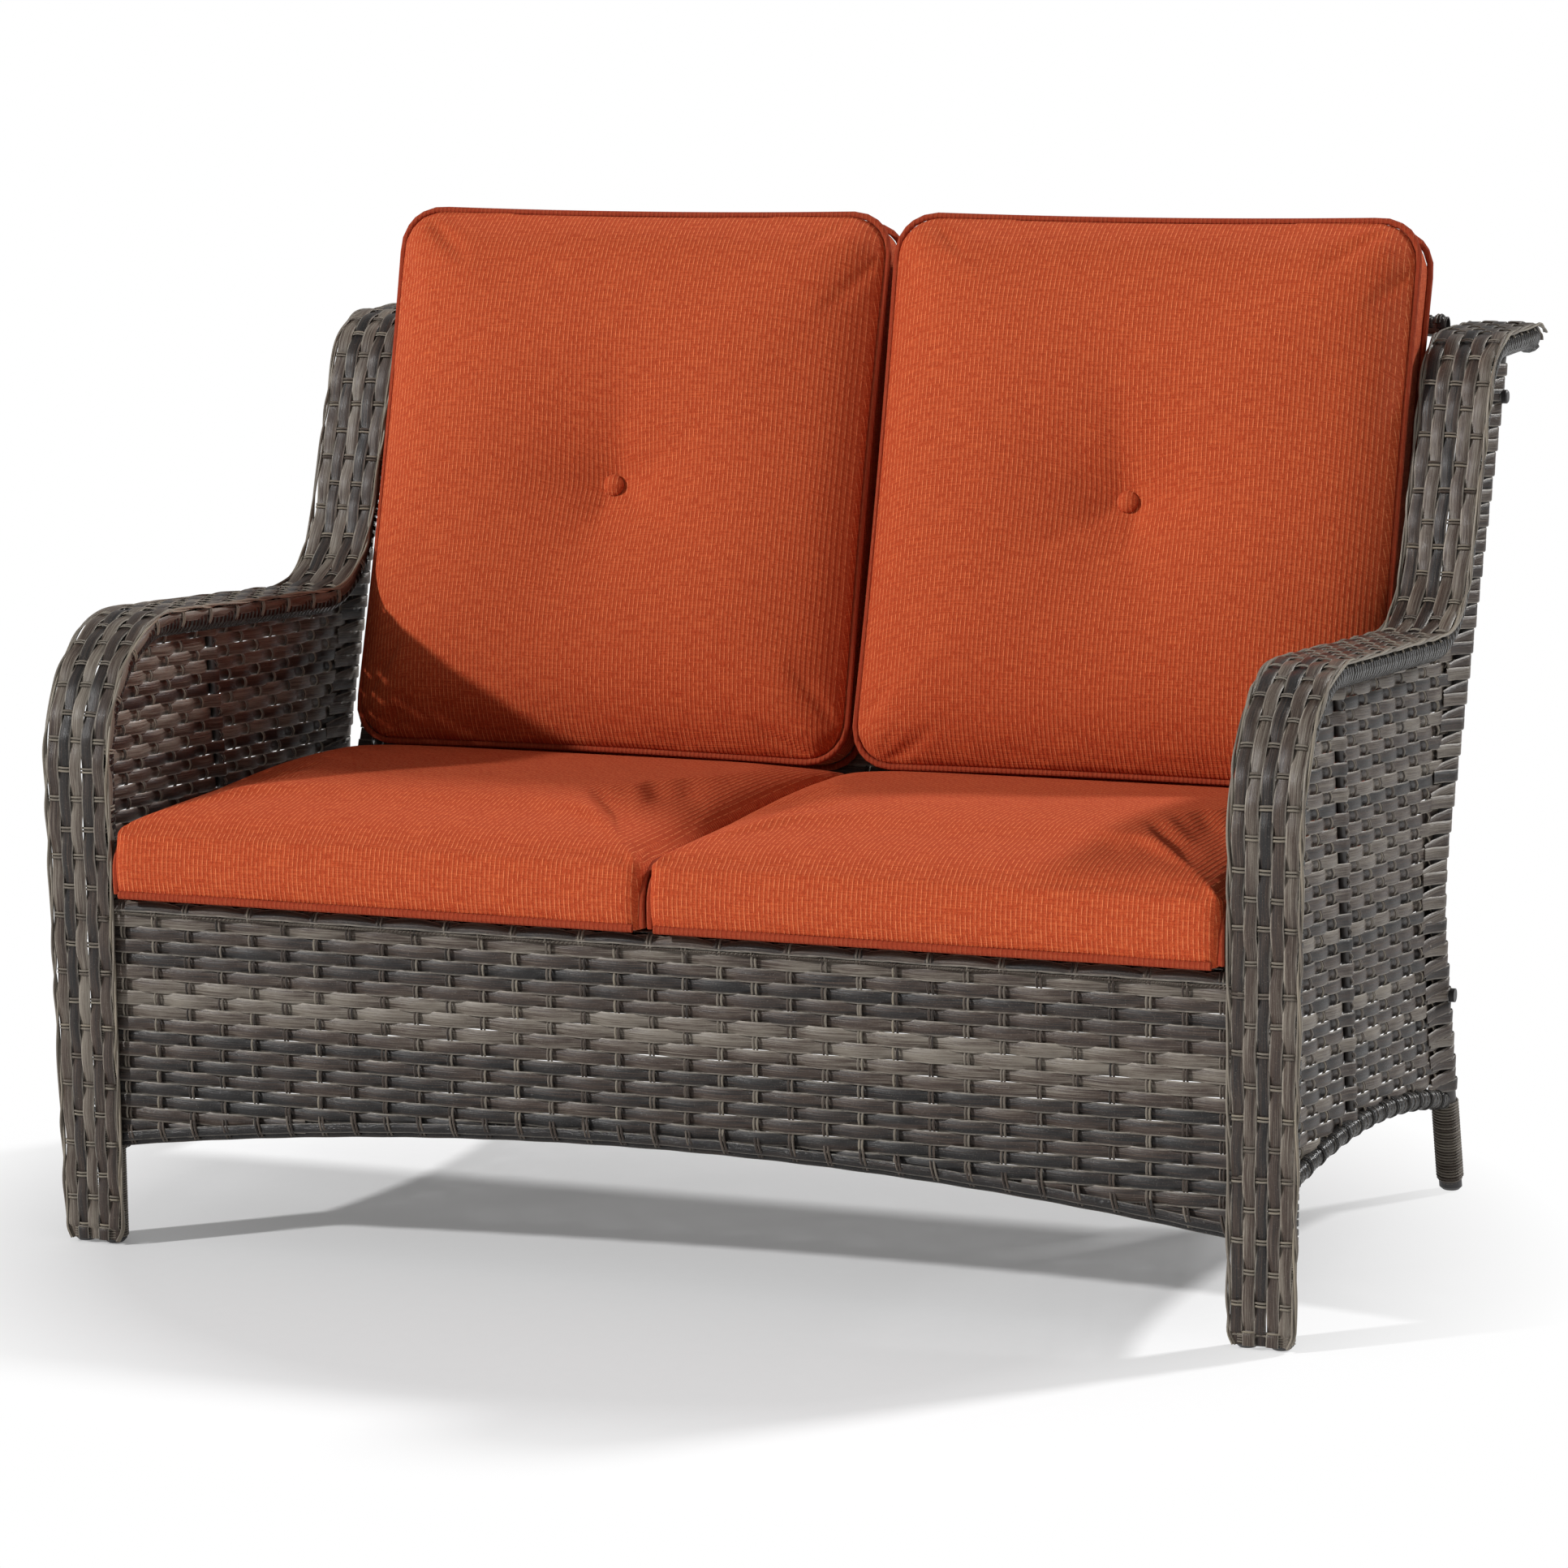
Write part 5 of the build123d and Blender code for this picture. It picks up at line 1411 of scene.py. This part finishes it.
class LOVESEAT_OT_frame_finishes(bpy.types.Operator):
    """Give the steel, plastic and zinc parts of the frame their finishes"""

    bl_idname = "loveseat.frame_finishes"
    bl_label = "Frame Finishes"

    def execute(self, context):
        for name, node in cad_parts.items():
            kind = "steel"
            if any(word in name for word in ("feet", "foot", "caps")):
                kind = "plastic"
            elif name in ("frame_bolts", "bolt_washers"):
                kind = "zinc"
            for i in range(len(node.data.materials)):
                node.data.materials[i] = finish_for(kind)
        return {"FINISHED"}


CAMERA_PLACE = (1.9713, -5.0696, 1.3737)
CAMERA_TURNS = (21.58, 9.80, -0.747)
# Where the floor's shadows are fully seen, where they have gone, and how much white lies over them at the start
FADE_START, FADE_END, FADE_LEAST = 0.62, 1.02, 0.15


class LOVESEAT_OT_stage(bpy.types.Operator):
    """Set up the floor, the camera and the light"""

    bl_idname = "loveseat.stage"
    bl_label = "Stage"

    def execute(self, context):
        studio = context.scene.loveseat_studio
        bpy.ops.object.select_all(action="DESELECT")
        bpy.ops.mesh.primitive_plane_add(size=60.0, location=(0.0, 0.0, -0.0005))
        floor = context.active_object
        floor.name = "studio_floor"
        floor.data.materials.append(self.floor_finish())
        self.camera(context, studio)
        for name, strength, spread, aim in (
            ("key_light", studio.key, 3.0, (-0.75, -0.65, 0.50)),
            ("rear_light", studio.side, 6.0, (0.58, 0.60, 0.60)),
        ):
            bpy.ops.object.light_add(type="SUN")
            lamp = context.active_object
            lamp.name = name
            lamp.data.energy = strength
            lamp.data.angle = math.radians(spread)
            lamp.rotation_mode = "QUATERNION"
            lamp.rotation_quaternion = Vector(aim).to_track_quat("Z", "Y")
        self.sky(context, studio.sky)
        context.scene.view_settings.view_transform = "Standard"
        return {"FINISHED"}

    def camera(self, context, studio):
        yaw, pitch, roll = map(math.radians, CAMERA_TURNS)
        ahead = Vector((-math.sin(yaw) * math.cos(pitch), math.cos(yaw) * math.cos(pitch), -math.sin(pitch)))
        level = Vector((math.cos(yaw), math.sin(yaw), 0.0))
        upright = level.cross(ahead)
        right = math.cos(roll) * level + math.sin(roll) * upright
        up = math.cos(roll) * upright - math.sin(roll) * level
        bpy.ops.object.camera_add()
        camera = context.active_object
        camera.name = "studio_camera"
        camera.data.sensor_width = 36.0
        camera.data.lens = studio.lens
        camera.data.clip_end = 100.0
        turned = Matrix((right, up, -ahead)).transposed().to_4x4()
        camera.matrix_world = Matrix.Translation(CAMERA_PLACE) @ turned
        context.scene.camera = camera

    def floor_finish(self):
        finish = Finish("pale_studio_floor")
        place = finish.place()
        x, y, _ = finish.parts(place)
        across, deep = x + 0.15, y + 0.30
        away = (across * across + deep * deep) ** 0.5 + (across + deep).least(0.0) * -0.25
        fade = finish.range(away, FADE_START, FADE_END, FADE_LEAST, 1.0).clamped()
        seen = finish.seen_by("Is Camera Ray", "Is Glossy Ray", "Is Transmission Ray")
        pale = finish.mix(finish.noise(place, 60.0, 3.0), (0.875, 0.875, 0.88), (0.895, 0.895, 0.90))
        matt = finish.node("ShaderNodeBsdfDiffuse", values={"Color": pale})
        white = finish.node("ShaderNodeEmission", values={"Color": WHITE, "Strength": 1.0})
        return finish.ending(finish.node("ShaderNodeMixShader", values={0: seen * fade, 1: matt, 2: white}))

    def sky(self, context, strength):
        world = context.scene.world or bpy.data.worlds.new("studio")
        context.scene.world = world
        sky = Finish("studio_sky", world)
        lit, white = (
            sky.node("ShaderNodeBackground", values={"Color": WHITE, "Strength": level}) for level in (strength, 1.0)
        )
        seen = sky.seen_by("Is Camera Ray", "Is Transmission Ray")
        mixed = sky.node("ShaderNodeMixShader", values={0: seen, 1: lit, 2: white})
        sky.ending(mixed, "ShaderNodeOutputWorld")


# ---------------------------------------------------------------- add-on


class LOVESEAT_PT_panel(bpy.types.Panel):
    """Sidebar panel of the loveseat's steps and sizes"""

    bl_label = "Loveseat"
    bl_idname = "LOVESEAT_PT_panel"
    bl_space_type = "VIEW_3D"
    bl_region_type = "UI"
    bl_category = "Loveseat"

    def draw(self, context):
        for step in STEPS:
            self.layout.operator(step.bl_idname)
        for group in (context.scene.loveseat_weave, context.scene.loveseat_colours, context.scene.loveseat_studio):
            box = self.layout.box()
            for name in group.__annotations__:
                box.prop(group, name)


STEPS = (
    LOVESEAT_OT_stage,
    LOVESEAT_OT_frame_finishes,
    LOVESEAT_OT_arm_bands,
    LOVESEAT_OT_edge_cords,
    LOVESEAT_OT_tube_wraps,
    LOVESEAT_OT_side_panels,
    LOVESEAT_OT_skirt,
    LOVESEAT_OT_back_and_deck,
    LOVESEAT_OT_seat_cushions,
    LOVESEAT_OT_back_cushions,
)
GROUPS = {
    "loveseat_weave": LoveseatWeaveSizes,
    "loveseat_colours": LoveseatColours,
    "loveseat_studio": LoveseatStudio,
}


def register():
    for kind in (*GROUPS.values(), *STEPS, LOVESEAT_PT_panel):
        bpy.utils.register_class(kind)
    for name, kind in GROUPS.items():
        setattr(bpy.types.Scene, name, bpy.props.PointerProperty(type=kind))


def unregister():
    for name in GROUPS:
        delattr(bpy.types.Scene, name)
    for kind in (LOVESEAT_PT_panel, *reversed(STEPS), *GROUPS.values()):
        bpy.utils.unregister_class(kind)


def main():
    register()
    for step in STEPS:
        group, name = step.bl_idname.split(".")
        getattr(getattr(bpy.ops, group), name)()
    bpy.ops.object.select_all(action="DESELECT")


if __name__ == "__main__":
    main()
